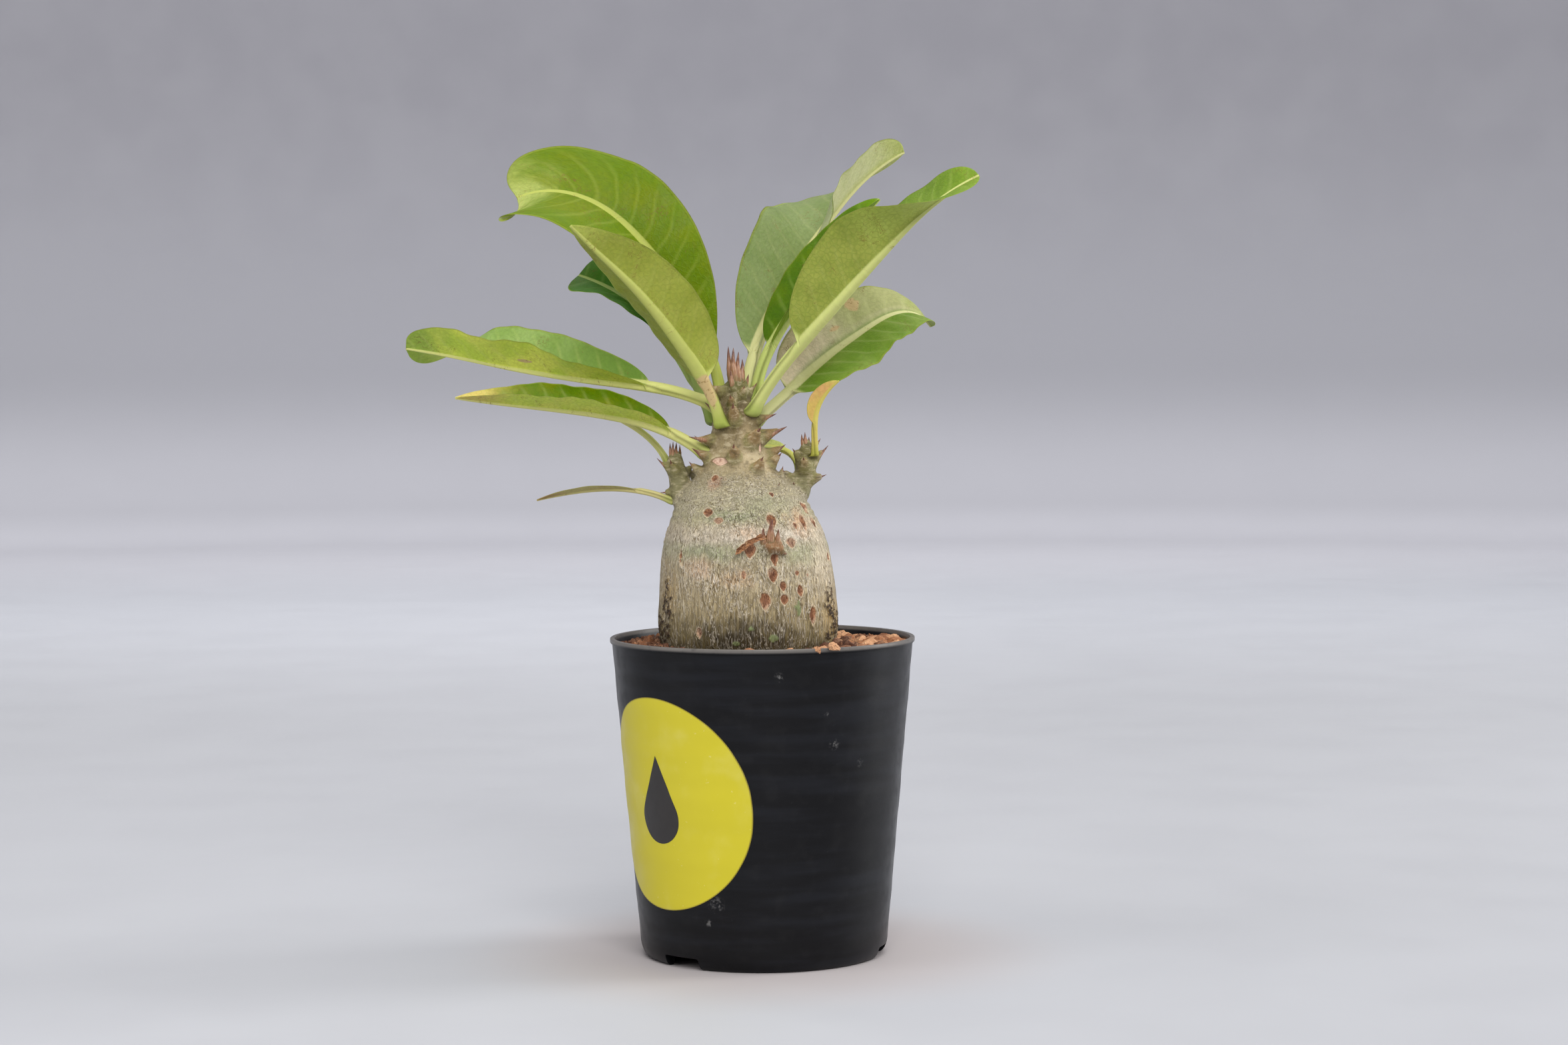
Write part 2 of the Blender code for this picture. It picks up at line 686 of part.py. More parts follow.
def leaf_base(leaf):
    """Where the leaf stalk begins, clear of the bark."""
    if len(leaf["base"]) == 3:
        return np.array(leaf["base"], float)
    compass, height = leaf["base"]
    middle, radius = trunk_at(height)
    turned_up = math.sin(math.radians(leaf["fold"][0] + abs(leaf["roll"][0])))
    toward_bark = BLADE_THICKNESS / 2 + STALK_REACH * STALK_HALF_WIDTH * turned_up
    clear = STALK_ROOM + toward_bark * math.sin(math.radians(leaf["rise"][0]))
    x, y = on_circle(compass, radius + clear, middle)
    return np.array((x, y, height))


def midrib(leaf, stations):
    """Shares and points along the middle of the leaf, and the directions across it and up from its face."""
    along = np.linspace(0, 1, stations)
    turns = [np.radians(smooth_between(leaf[key], along)) for key in ("heading", "rise", "roll")]
    heading, rise, roll = turns
    level = np.stack([np.cos(heading), np.sin(heading), 0 * heading], -1)
    up = np.array((0, 0, 1.0))
    forward = level * np.cos(rise)[:, None] + up * np.sin(rise)[:, None]
    face = -level * np.sin(rise)[:, None] + up * np.cos(rise)[:, None]
    side = np.cross(forward, face)
    across = side * np.cos(roll)[:, None] + face * np.sin(roll)[:, None]
    normal = face * np.cos(roll)[:, None] - side * np.sin(roll)[:, None]
    steps = (forward[1:] + forward[:-1]) / 2 * leaf["length"] / (stations - 1)
    middle = np.concatenate([leaf_base(leaf)[None], leaf_base(leaf) + np.cumsum(steps, 0)])
    return along, middle, across, normal


def blade_half_width(leaf, blade, stalk_half_width):
    """Half the leaf's width: the stalk's, then up to the fullest part of the blade and down to the tip."""
    rising, falling = leaf["fullness"]
    fullest = rising / (rising + falling)
    peak = fullest**rising * (1 - fullest) ** falling
    shape = blade**rising * (1 - blade) ** falling / peak
    return np.maximum(leaf["width"] / 2 * shape, stalk_half_width * (1 - 0.8 * blade))


def section(leaf, blade, half, rib, fold, across, normal):
    """Upper and lower points of one cut across the leaf, seen from its middle, with the midrib underneath.

    The lean of the points keeps to what their distance from the middle allows, so that the two sides of a
    narrow, steeply folded stalk don't cross.
    """
    height, count, phase = leaf["waves"]
    upper, lower = [], []
    for place in ACROSS:
        margin = float(np.sign(place))
        turn = fold * margin
        outward = across * math.cos(turn) + normal * math.sin(turn)
        lean = margin * min(fold, half * abs(place) * math.cos(fold) / BLADE_THICKNESS)
        straight = normal * math.cos(lean) - across * math.sin(lean)
        wave = math.sin(2 * math.pi * count * blade + math.radians(phase) + WAVE_OFFSET * margin)
        ripple = wave * height * half * place**2 * math.sin(math.pi * blade)
        point = outward * half * place + straight * ripple
        bulge = rib * max(0.0, 1 - (half * place / (RIB_WIDTH * rib)) ** 2)
        upper.append(point + straight * BLADE_THICKNESS / 2)
        lower.append(point - straight * (BLADE_THICKNESS / 2 + bulge))
    return upper, lower


def leaf_rings(leaf, stations, stalk_half_width):
    """Rings of points, one for each station: over the upper face and back under the lower one."""
    along, middle, across, normal = midrib(leaf, stations)
    stalk_share = leaf["stalk"] / leaf["length"]
    blade = np.clip((along - stalk_share) / (1 - stalk_share), 0, 1)
    half = blade_half_width(leaf, blade, stalk_half_width)
    rib = stalk_half_width * np.interp(blade, (0, 1), RIB_DEPTH)
    fold = np.radians(smooth_between(leaf["fold"], blade))
    rings = []
    for index in range(stations):
        upper, lower = section(
            leaf, blade[index], half[index], rib[index], fold[index], across[index], normal[index]
        )
        rings.append([middle[index] + offset for offset in upper + lower[::-1]])
    return rings


def leaf_faces(stations):
    """Triangles of the leaf. Both faces are split along one diagonal, so that a waved blade can't cross it."""
    count = len(ACROSS)
    ring = 2 * count
    faces = []
    for station in range(stations - 1):
        start, after = station * ring, (station + 1) * ring
        for place in range(count - 1):
            a, b, c, d = start + place, start + place + 1, after + place + 1, after + place
            faces += [(a, b, c), (a, c, d)]
            a, b, c, d = (base + ring - 1 - step for base, step in
                          ((start, place), (start, place + 1), (after, place + 1), (after, place)))
            faces += [(c, b, a), (d, c, a)]
        for side in (count - 1, ring - 1):
            a, b = start + side, start + (side + 1) % ring
            faces += [(a, b, b + ring), (a, b + ring, a + ring)]
    for base, flip in ((0, True), ((stations - 1) * ring, False)):
        for place in range(count - 1):
            a, b, c, d = base + place, base + place + 1, base + ring - 2 - place, base + ring - 1 - place
            faces += [(a, d, c), (a, c, b)] if flip else [(a, b, c), (a, c, d)]
    return faces


LEAF_COLOURS = {
    "leaf_03": (0.06, 0.17, 0.05),
    "leaf_06": (0.30, 0.27, 0.07),
    "leaf_12": (0.62, 0.42, 0.10),
}
LEAF_GREEN = (0.20, 0.36, 0.04)


def add_leaf(name, leaf):
    small = name in SMALL_LEAVES
    stations = SMALL_LEAF_STATIONS if small else LEAF_STATIONS
    rings = leaf_rings(leaf, stations, SMALL_STALK_HALF_WIDTH if small else STALK_HALF_WIDTH)
    points = [point for ring in rings for point in ring]
    green = material(name + " green", LEAF_COLOURS.get(name, LEAF_GREEN), 0.45)
    return add_object(name, points, leaf_faces(stations), green, leaf_base(leaf))


def add_plant():
    plant = bpy.data.objects.new("plant", None)
    bpy.context.scene.collection.objects.link(plant)
    plant.empty_display_size = 20 * MM
    for piece in [add_caudex()] + [add_leaf(name, leaf) for name, leaf in LEAVES.items()]:
        piece.parent = plant


clear_scene()
add_pot()
add_label()
add_soil()
add_plant()
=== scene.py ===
import math
import random

import bmesh
import bpy
import numpy as np
from mathutils import Matrix, Vector, noise


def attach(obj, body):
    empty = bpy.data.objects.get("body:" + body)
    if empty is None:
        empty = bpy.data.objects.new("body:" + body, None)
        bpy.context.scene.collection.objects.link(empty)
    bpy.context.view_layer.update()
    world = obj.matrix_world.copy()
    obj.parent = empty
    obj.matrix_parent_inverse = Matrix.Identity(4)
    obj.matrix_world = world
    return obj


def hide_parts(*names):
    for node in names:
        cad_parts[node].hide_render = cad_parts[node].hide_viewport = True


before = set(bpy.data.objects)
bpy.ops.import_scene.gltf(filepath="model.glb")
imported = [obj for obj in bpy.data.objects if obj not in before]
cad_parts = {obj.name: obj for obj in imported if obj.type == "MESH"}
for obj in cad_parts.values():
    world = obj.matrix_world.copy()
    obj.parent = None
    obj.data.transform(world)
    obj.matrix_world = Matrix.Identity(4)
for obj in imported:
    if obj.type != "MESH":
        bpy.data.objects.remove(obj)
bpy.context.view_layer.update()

# The pot
# A 90 mm nursery pot, moulded in one shot of thin black plastic. Faint hoops run round the wall where the
# plastic shrank, the top of the thin lip is pale with wear and a painted highlight, and three notches in the
# foot ring let the water out.
MM = 0.001
POT_HEIGHT = 94
RIM_RADIUS = 45
LIP_HEIGHT = 1.5
LIP_OVERHANG = 0.45
LIP_ROUNDING = 0.35
WALL_THICKNESS = 1.0
WALL_FOOT_RADIUS = 36.7
FOOT_HEIGHT = 6
FOOT_CONTACT_RADIUS = 34
FLOOR_HEIGHT = 4
UNDERSIDE_HEIGHT = 2.5
BOSS_RADIUS = 9
HOOPS = ((15.0, 0.05, 0.6), (6.3, 0.02, 1.7), (27.0, 0.04, 2.9))  # spacing, relief, phase
NOTCH_COMPASS = (108, 228, 348)
NOTCH_SIZE = (8, 13, 7)
NOTCH_ROUNDING = 0.7
DRAIN_COUNT = 6
DRAIN_RING = 21
DRAIN_RADIUS = 3.5
POT_STEPS = 168
POT_CREASE = 38  # sharper edges than this, in degrees, stay sharp
BLACK_PLASTIC = 0x0C0C0E
PLASTIC_SHEEN = 0x15161A
WORN_LIP_AND_HIGHLIGHT = 0x625E5A
POT_DUST = 0x8C8A88
# Places where dust was rubbed on: compass, height, size
SMUDGES = (
    (249, 20, 3.2), (245, 14.5, 1.6), (276, 86, 1.8), (295, 75, 1.0), (299, 66, 2.2), (312, 60, 1.6),
)


def paint(code):
    """A screen colour as the linear red, green, blue and alpha that shaders take."""
    channels = [(code >> shift & 255) / 255 for shift in (16, 8, 0)]
    return (*(c / 12.92 if c < 0.04045 else ((c + 0.055) / 1.055) ** 2.4 for c in channels), 1.0)


def on_circle(compass, radius, middle=0.0):
    angle = math.radians(compass)
    return middle + radius * math.cos(angle), radius * math.sin(angle)


def shaped(name, points, faces, crease=None):
    """An object from points in millimetres, shaded smooth, with its origin at the frame's."""
    mesh = bpy.data.meshes.new(name)
    mesh.from_pydata((np.asarray(points, float) * MM).tolist(), [], faces)
    mesh.shade_smooth()
    if crease:
        mesh.set_sharp_from_angle(angle=math.radians(crease))
    piece = bpy.data.objects.new(name, mesh)
    bpy.context.scene.collection.objects.link(piece)
    return piece


def quads(rows, columns):
    """Faces of a tube of points that runs in rows, each of them a ring."""
    faces = []
    for row in range(rows - 1):
        for column in range(columns):
            a = row * columns + column
            b = row * columns + (column + 1) % columns
            faces.append((a, b, b + columns, a + columns))
    return faces


def capped(rows, columns):
    """Faces of a tube with a face over each end."""
    last = (rows - 1) * columns
    return quads(rows, columns) + [tuple(range(columns))[::-1], tuple(range(last, last + columns))]


def joined_up(rows, columns):
    """Faces of a tube whose last ring joins its first."""
    last = (rows - 1) * columns
    seam = [(last + a, last + (a + 1) % columns, (a + 1) % columns, a) for a in range(columns)]
    return quads(rows, columns) + seam


def note(piece, name, values):
    """Stores a number, or three, at each point of a mesh for its material to read."""
    values = np.asarray(values, np.float32)
    wide = values.ndim == 2
    layer = piece.data.attributes.new(name, "FLOAT_VECTOR" if wide else "FLOAT", "POINT")
    layer.data.foreach_set("vector" if wide else "value", values.ravel())


def finish_of(name):
    """A new material, its node tree and its shader."""
    made = bpy.data.materials.new(name)
    made.use_nodes = True
    return made, made.node_tree, made.node_tree.nodes["Principled BSDF"]


def feed(tree, value, socket):
    if isinstance(value, bpy.types.NodeSocket):
        tree.links.new(value, socket)
    else:
        socket.default_value = value


def add(tree, kind, inputs=None, out=0, **settings):
    """Adds a shader node and returns one of its outputs. The inputs are values or other nodes' outputs."""
    made = tree.nodes.new("ShaderNode" + kind)
    for name, value in settings.items():
        setattr(made, name, value)
    for name, value in (inputs or {}).items():
        feed(tree, value, made.inputs[name])
    return made.outputs[out]


def calc(tree, operation, *values):
    return add(tree, "Math", dict(enumerate(values)), operation=operation)


def times(tree, first, second):
    return calc(tree, "MULTIPLY", first, second)


def axis_of(tree, vector, axis):
    return add(tree, "SeparateXYZ", {0: vector}, axis)


def noted(tree, name, out="Vector"):
    """What note stored on the mesh under a name."""
    return add(tree, "Attribute", out=out, attribute_name=name)


def span(tree, value, low, high, to_low=0.0, to_high=1.0):
    """Turns a range of values smoothly into another."""
    inputs = {"Value": value, "From Min": low, "From Max": high, "To Min": to_low, "To Max": to_high}
    return add(tree, "MapRange", inputs, interpolation_type="SMOOTHSTEP")


def blend(tree, share, first, second, way="MIX"):
    return add(tree, "Mix", {0: share, 6: first, 7: second}, 2, data_type="RGBA", blend_type=way)


def speckle(tree, place, size, detail=2.0, roughness=0.5, distortion=0.0):
    """Noise whose grains are about size millimetres across."""
    inputs = {"Vector": place, "Scale": 1 / (size * MM), "Detail": detail, "Roughness": roughness}
    return add(tree, "TexNoise", {**inputs, "Distortion": distortion})


def stretched(tree, place, scale):
    return add(tree, "VectorMath", {0: place, 1: scale}, operation="MULTIPLY")


def lift(tree, shader, height, depth, strength=1.0):
    """Fine relief, up to depth millimetres high, on top of what the mesh has."""
    bump = add(tree, "Bump", {"Height": height, "Distance": depth * MM, "Strength": strength})
    tree.links.new(bump, shader.inputs["Normal"])


def dust_group():
    """Dust and lint: soft patches, with a few brighter specks where it sticks."""
    group = bpy.data.node_groups.new("dust", "ShaderNodeTree")
    face = group.interface
    face.new_socket("Place", in_out="INPUT", socket_type="NodeSocketVector")
    face.new_socket("Patch Size", in_out="INPUT", socket_type="NodeSocketFloat")
    face.new_socket("Speck Size", in_out="INPUT", socket_type="NodeSocketFloat")
    face.new_socket("Amount", in_out="INPUT", socket_type="NodeSocketFloat")
    face.new_socket("Dust", in_out="OUTPUT", socket_type="NodeSocketFloat")
    given = group.nodes.new("NodeGroupInput").outputs
    result = group.nodes.new("NodeGroupOutput")
    patches = add(group, "TexNoise", {"Vector": given["Place"], "Scale": given["Patch Size"], "Detail": 5.0})
    lint = add(group, "TexNoise", {"Vector": given["Place"], "Scale": given["Speck Size"], "Detail": 1.0})
    soft = span(group, patches, 0.5, 0.75, 0.0, 0.45)
    specks = span(group, lint, 0.73, 0.8, 0.0, 0.9)
    both = calc(group, "MAXIMUM", soft, specks)
    group.links.new(times(group, both, given["Amount"]), result.inputs["Dust"])
    return group


DUST = dust_group()


def dust(tree, place, patch, speck, amount):
    made = tree.nodes.new("ShaderNodeGroup")
    made.node_tree = DUST
    scales = {"Patch Size": 1 / (patch * MM), "Speck Size": 1 / (speck * MM)}
    for name, value in {"Place": place, **scales, "Amount": amount}.items():
        feed(tree, value, made.inputs[name])
    return made.outputs["Dust"]


def wall_radius(height):
    """Radius of the wall's outside, with its hoops, which fade out at the foot and under the lip."""
    share = (height - FOOT_HEIGHT) / (POT_HEIGHT - FOOT_HEIGHT)
    straight = WALL_FOOT_RADIUS + share * (RIM_RADIUS - LIP_OVERHANG - WALL_FOOT_RADIUS)
    fade = min(1, max(0, (height - 5) / 8)) * min(1, max(0, (POT_HEIGHT - 4 - height) / 6))
    hoops = sum(relief * math.sin(math.tau * height / gap + phase) for gap, relief, phase in HOOPS)
    return straight + fade * hoops


def pot_outline():
    """Radius and height round the section: lip, outside, foot ring, underside, floor and inside."""
    lip_foot = POT_HEIGHT - LIP_HEIGHT
    lip = []
    for turn in (0, 0.5, 1.05, 1.57):
        aside, up = LIP_ROUNDING * math.sin(turn), LIP_ROUNDING * math.cos(turn)
        lip.append((RIM_RADIUS - LIP_ROUNDING + aside, POT_HEIGHT - LIP_ROUNDING + up))
    lip += [(RIM_RADIUS, lip_foot + LIP_ROUNDING), (RIM_RADIUS - 0.12, lip_foot + 0.08)]
    lip.append((wall_radius(lip_foot), lip_foot))
    wall = [(wall_radius(height), height) for height in np.arange(lip_foot - 0.4, FOOT_HEIGHT, -1.1)]
    foot = []
    for turn in np.linspace(0, math.pi / 2, 8):
        reach = (WALL_FOOT_RADIUS - FOOT_CONTACT_RADIUS) * math.cos(turn)
        foot.append((FOOT_CONTACT_RADIUS + reach, FOOT_HEIGHT * (1 - math.sin(turn))))
    ring = FOOT_CONTACT_RADIUS - 1.2
    under = [(ring, 0), (ring - 0.5, UNDERSIDE_HEIGHT)]
    under += [(BOSS_RADIUS + 0.6, UNDERSIDE_HEIGHT), (BOSS_RADIUS, 0), (0.01, 0), (0.01, FLOOR_HEIGHT)]
    mouth = wall_radius(POT_HEIGHT) - WALL_THICKNESS
    inside_foot = WALL_FOOT_RADIUS - WALL_THICKNESS
    inside = [(inside_foot - 1.6, FLOOR_HEIGHT), (inside_foot, FLOOR_HEIGHT + 2.5), (mouth, POT_HEIGHT - 0.4)]
    return lip + wall + foot + under + inside + [(mouth + 0.15, POT_HEIGHT - 0.1), (mouth + 0.45, POT_HEIGHT)]


def settle(piece):
    """Takes a piece's modifiers into its mesh."""
    bpy.context.view_layer.update()
    mesh = bpy.data.meshes.new_from_object(piece.evaluated_get(bpy.context.evaluated_depsgraph_get()))
    piece.modifiers.clear()
    piece.data = mesh


def cut(piece, cutters):
    """Takes the cutters out of a piece, one after the other."""
    for cutter in cutters:
        change = piece.modifiers.new("cut", "BOOLEAN")
        change.operation, change.object = "DIFFERENCE", cutter
    settle(piece)
    for cutter in cutters:
        bpy.data.objects.remove(cutter, do_unlink=True)


def notch(compass):
    """A block with rounded upper edges, as the mould leaves them."""
    bpy.ops.mesh.primitive_cube_add(size=1)
    made = bpy.context.object
    made.data.transform(Matrix.Diagonal((*(length * MM for length in NOTCH_SIZE), 1)))
    work = bmesh.new()
    work.from_mesh(made.data)
    offset = NOTCH_ROUNDING * MM
    bmesh.ops.bevel(work, geom=work.edges[:], offset=offset, segments=3, affect="EDGES", profile=0.5)
    work.to_mesh(made.data)
    work.free()
    outward = Matrix.Translation((FOOT_CONTACT_RADIUS * MM, 0, 0))
    made.matrix_world = Matrix.Rotation(math.radians(compass), 4, "Z") @ outward
    return made


def drain(compass):
    bpy.ops.mesh.primitive_cylinder_add(vertices=24, radius=DRAIN_RADIUS * MM, depth=12 * MM)
    x, y = on_circle(compass, DRAIN_RING)
    bpy.context.object.location = Vector((x, y, FLOOR_HEIGHT)) * MM
    return bpy.context.object


outline = pot_outline()
turns = [360 * step / POT_STEPS for step in range(POT_STEPS)]
points = [(*on_circle(turn, radius), height) for radius, height in outline for turn in turns]
pot = shaped("nursery_pot", points, joined_up(len(outline), POT_STEPS))
cutters = [notch(compass) for compass in NOTCH_COMPASS]
cutters += [drain(360 * step / DRAIN_COUNT) for step in range(DRAIN_COUNT)]
cut(pot, cutters)
pot.data.set_sharp_from_angle(angle=math.radians(POT_CREASE))

plastic, tree, shader = finish_of("black plastic")
place = add(tree, "TexCoord", out="Object")
height = axis_of(tree, place, "Z")
# Faint paler horizontal bands on the wall: painted sheen.
sheen_bands = speckle(tree, stretched(tree, place, (1, 1, 9)), 40, 3)
colour = blend(tree, span(tree, sheen_bands, 0.4, 0.7), paint(BLACK_PLASTIC), paint(PLASTIC_SHEEN))
# The top of the lip is painted paler: partly wear, partly a painted highlight.
on_lip = span(tree, height, (POT_HEIGHT - 1.4) * MM, (POT_HEIGHT - 0.6) * MM)
scuffed = span(tree, speckle(tree, place, 2.2, 4), 0.2, 0.5, 0.55, 1.0)
colour = blend(tree, times(tree, on_lip, scuffed), colour, paint(WORN_LIP_AND_HIGHLIGHT))
dusty = dust(tree, place, 5, 0.9, 0.02)
for compass, up, size in SMUDGES:
    spot = (*(MM * v for v in on_circle(compass, wall_radius(up))), up * MM)
    away = add(tree, "VectorMath", {0: place, 1: spot}, "Value", operation="DISTANCE")
    near = span(tree, away, 0.0, size * MM, 1.0, 0.0)
    rubbed = times(tree, near, span(tree, speckle(tree, place, 0.9, 3), 0.45, 0.7, 0.0, 0.4))
    dusty = calc(tree, "MAXIMUM", dusty, rubbed)
feed(tree, blend(tree, dusty, colour, paint(POT_DUST)), shader.inputs["Base Color"])
rough = span(tree, speckle(tree, place, 4, 4), 0.35, 0.7, 0.3, 0.38)
feed(tree, calc(tree, "ADD", rough, times(tree, dusty, 0.3)), shader.inputs["Roughness"])
scratches = speckle(tree, stretched(tree, place, (1, 1, 20)), 3.0, 4)
lift(tree, shader, calc(tree, "ADD", scratches, speckle(tree, place, 0.35, 2)), 0.02, 0.5)
shader.inputs["Specular IOR Level"].default_value = 0.17
pot.data.materials.append(plastic)
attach(pot, "root")
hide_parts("pot")

# The label
# A round of coated yellow paper, 62 mm across, stuck on by hand to the left of the front. It carries a plain
# water drop, and its edge has picked up a line of dirt.
LABEL_RADIUS = 31
LABEL_COMPASS = 222
LABEL_HEIGHT = 48
LABEL_THICKNESS = 0.12
LABEL_GAP = 0.05  # between the wall and the sticker's back
LABEL_YELLOW = 0xBCB026
LABEL_INK = 0x181514
DROP_RADIUS = 8.4
DROP_TIP = 20.0  # from the middle of the drop's round part up to its tip
DROP_HEIGHT = -4.0
DROP_THICKNESS = 0.06
LABEL_CREASE = 50  # sharper edges than this, in degrees, stay sharp


def on_label(across, up, proud):
    """A point of the flat label, wrapped on the pot's wall."""
    radius = wall_radius(LABEL_HEIGHT + up) + LABEL_GAP + proud
    return (*on_circle(LABEL_COMPASS + math.degrees(across / radius), radius), LABEL_HEIGHT + up)


def film_faces(rings, steps):
    """Front, back and edges of a thin film. It has a pin hole in its middle, so it has an inner edge too."""
    count = rings * steps
    faces = quads(rings, steps)
    faces += [tuple(count + corner for corner in face[::-1]) for face in faces]
    for ring, flip in ((rings - 1, 1), (0, -1)):
        for step in range(steps):
            a, b = ring * steps + step, ring * steps + (step + 1) % steps
            faces.append((a, b, count + b, count + a)[::flip])
    return faces


def add_film():
    """The sticker, a round wrapped on the wall."""
    rings, steps = 26, 144
    radii = np.linspace(0.05, LABEL_RADIUS, rings)
    front, back = [], []
    for radius in radii:
        for step in range(steps):
            angle = math.tau * step / steps
            across, up = radius * math.cos(angle), radius * math.sin(angle)
            front.append(on_label(across, up, LABEL_THICKNESS))
            back.append(on_label(across, up, 0))
    made = shaped("label_film", front + back, film_faces(rings, steps), LABEL_CREASE)
    note(made, "from middle", [radius / LABEL_RADIUS for radius in radii for _ in range(steps)] * 2)
    return made


def drop_edge(aside):
    """Distance from the middle of the drop to its edge, at an angle from its tip."""
    meeting = math.acos(DROP_RADIUS / DROP_TIP)
    return DROP_RADIUS if aside > meeting else DROP_RADIUS / math.cos(meeting - aside)


def add_drop():
    """The printed water drop, a film of ink on the sticker."""
    rings, steps = 10, 72
    front, back = [], []
    for ring in range(rings):
        for step in range(steps):
            turn = math.tau * step / steps
            reach = drop_edge(min(turn, math.tau - turn)) * (ring + 0.02) / rings
            across, up = -reach * math.sin(turn), reach * math.cos(turn) + DROP_HEIGHT
            front.append(on_label(across, up, LABEL_THICKNESS + DROP_THICKNESS))
            back.append(on_label(across, up, 0.02))
    return shaped("label_drop", front + back, film_faces(rings, steps), LABEL_CREASE)


label = add_film()
drop = add_drop()
film, tree, shader = finish_of("yellow paper")
place = add(tree, "TexCoord", out="Object")
edge = span(tree, noted(tree, "from middle", "Fac"), 0.985, 1.0)
tone = span(tree, speckle(tree, place, 18, 3), 0.35, 0.7, 0.0, 0.18)
colour = blend(tree, tone, paint(LABEL_YELLOW), paint(0xB4A826))
colour = blend(tree, times(tree, edge, 0.75), colour, paint(0x5A4A22))
colour = blend(tree, dust(tree, place, 12, 1.1, 0.2), colour, paint(0xE9E4B8))
feed(tree, colour, shader.inputs["Base Color"])
feed(tree, span(tree, speckle(tree, place, 7, 3), 0.3, 0.7, 0.3, 0.42), shader.inputs["Roughness"])
lift(tree, shader, speckle(tree, place, 6, 2), 0.05, 0.4)
shader.inputs["Specular IOR Level"].default_value = 0.3
label.data.materials.append(film)
ink, tree, shader = finish_of("label ink")
place = add(tree, "TexCoord", out="Object")
inked = blend(tree, speckle(tree, place, 3, 3), paint(LABEL_INK), paint(0x241F1C))
feed(tree, inked, shader.inputs["Base Color"])
feed(tree, span(tree, speckle(tree, place, 2, 3), 0.3, 0.7, 0.32, 0.45), shader.inputs["Roughness"])
for piece in (label, drop):
    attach(piece, "root")
drop.data.materials.append(ink)
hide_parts("label")

# The leaves
# Thirteen strap-shaped blades on round, fleshy stalks, spiralling round the top of the stem and the two
# shoots. Each is folded along a thick, pale midrib, satin above, and matt and paler below and at its margin.
TRUNK = np.array((  # height, middle in x, radius
    (52, -3.9, 3.0), (62, -3.9, 8.0), (74, -3.9, 15.5), (84, -3.9, 21.3), (90, -3.9, 24.8),
    (94, -3.9, 26.1), (99, -3.9, 26.5), (105, -3.9, 26.2), (111, -4.1, 25.7), (117, -4.4, 25.0),
    (123, -4.7, 23.7), (129, -5.2, 21.5), (134, -5.8, 19.0), (138, -6.1, 16.3), (141, -6.4, 13.4),
    (144, -6.8, 10.8), (148, -7.4, 9.1), (153, -7.6, 7.4), (158, -7.7, 6.5), (163, -7.7, 5.1),
    (167, -7.7, 3.9), (170, -7.6, 3.0),
))
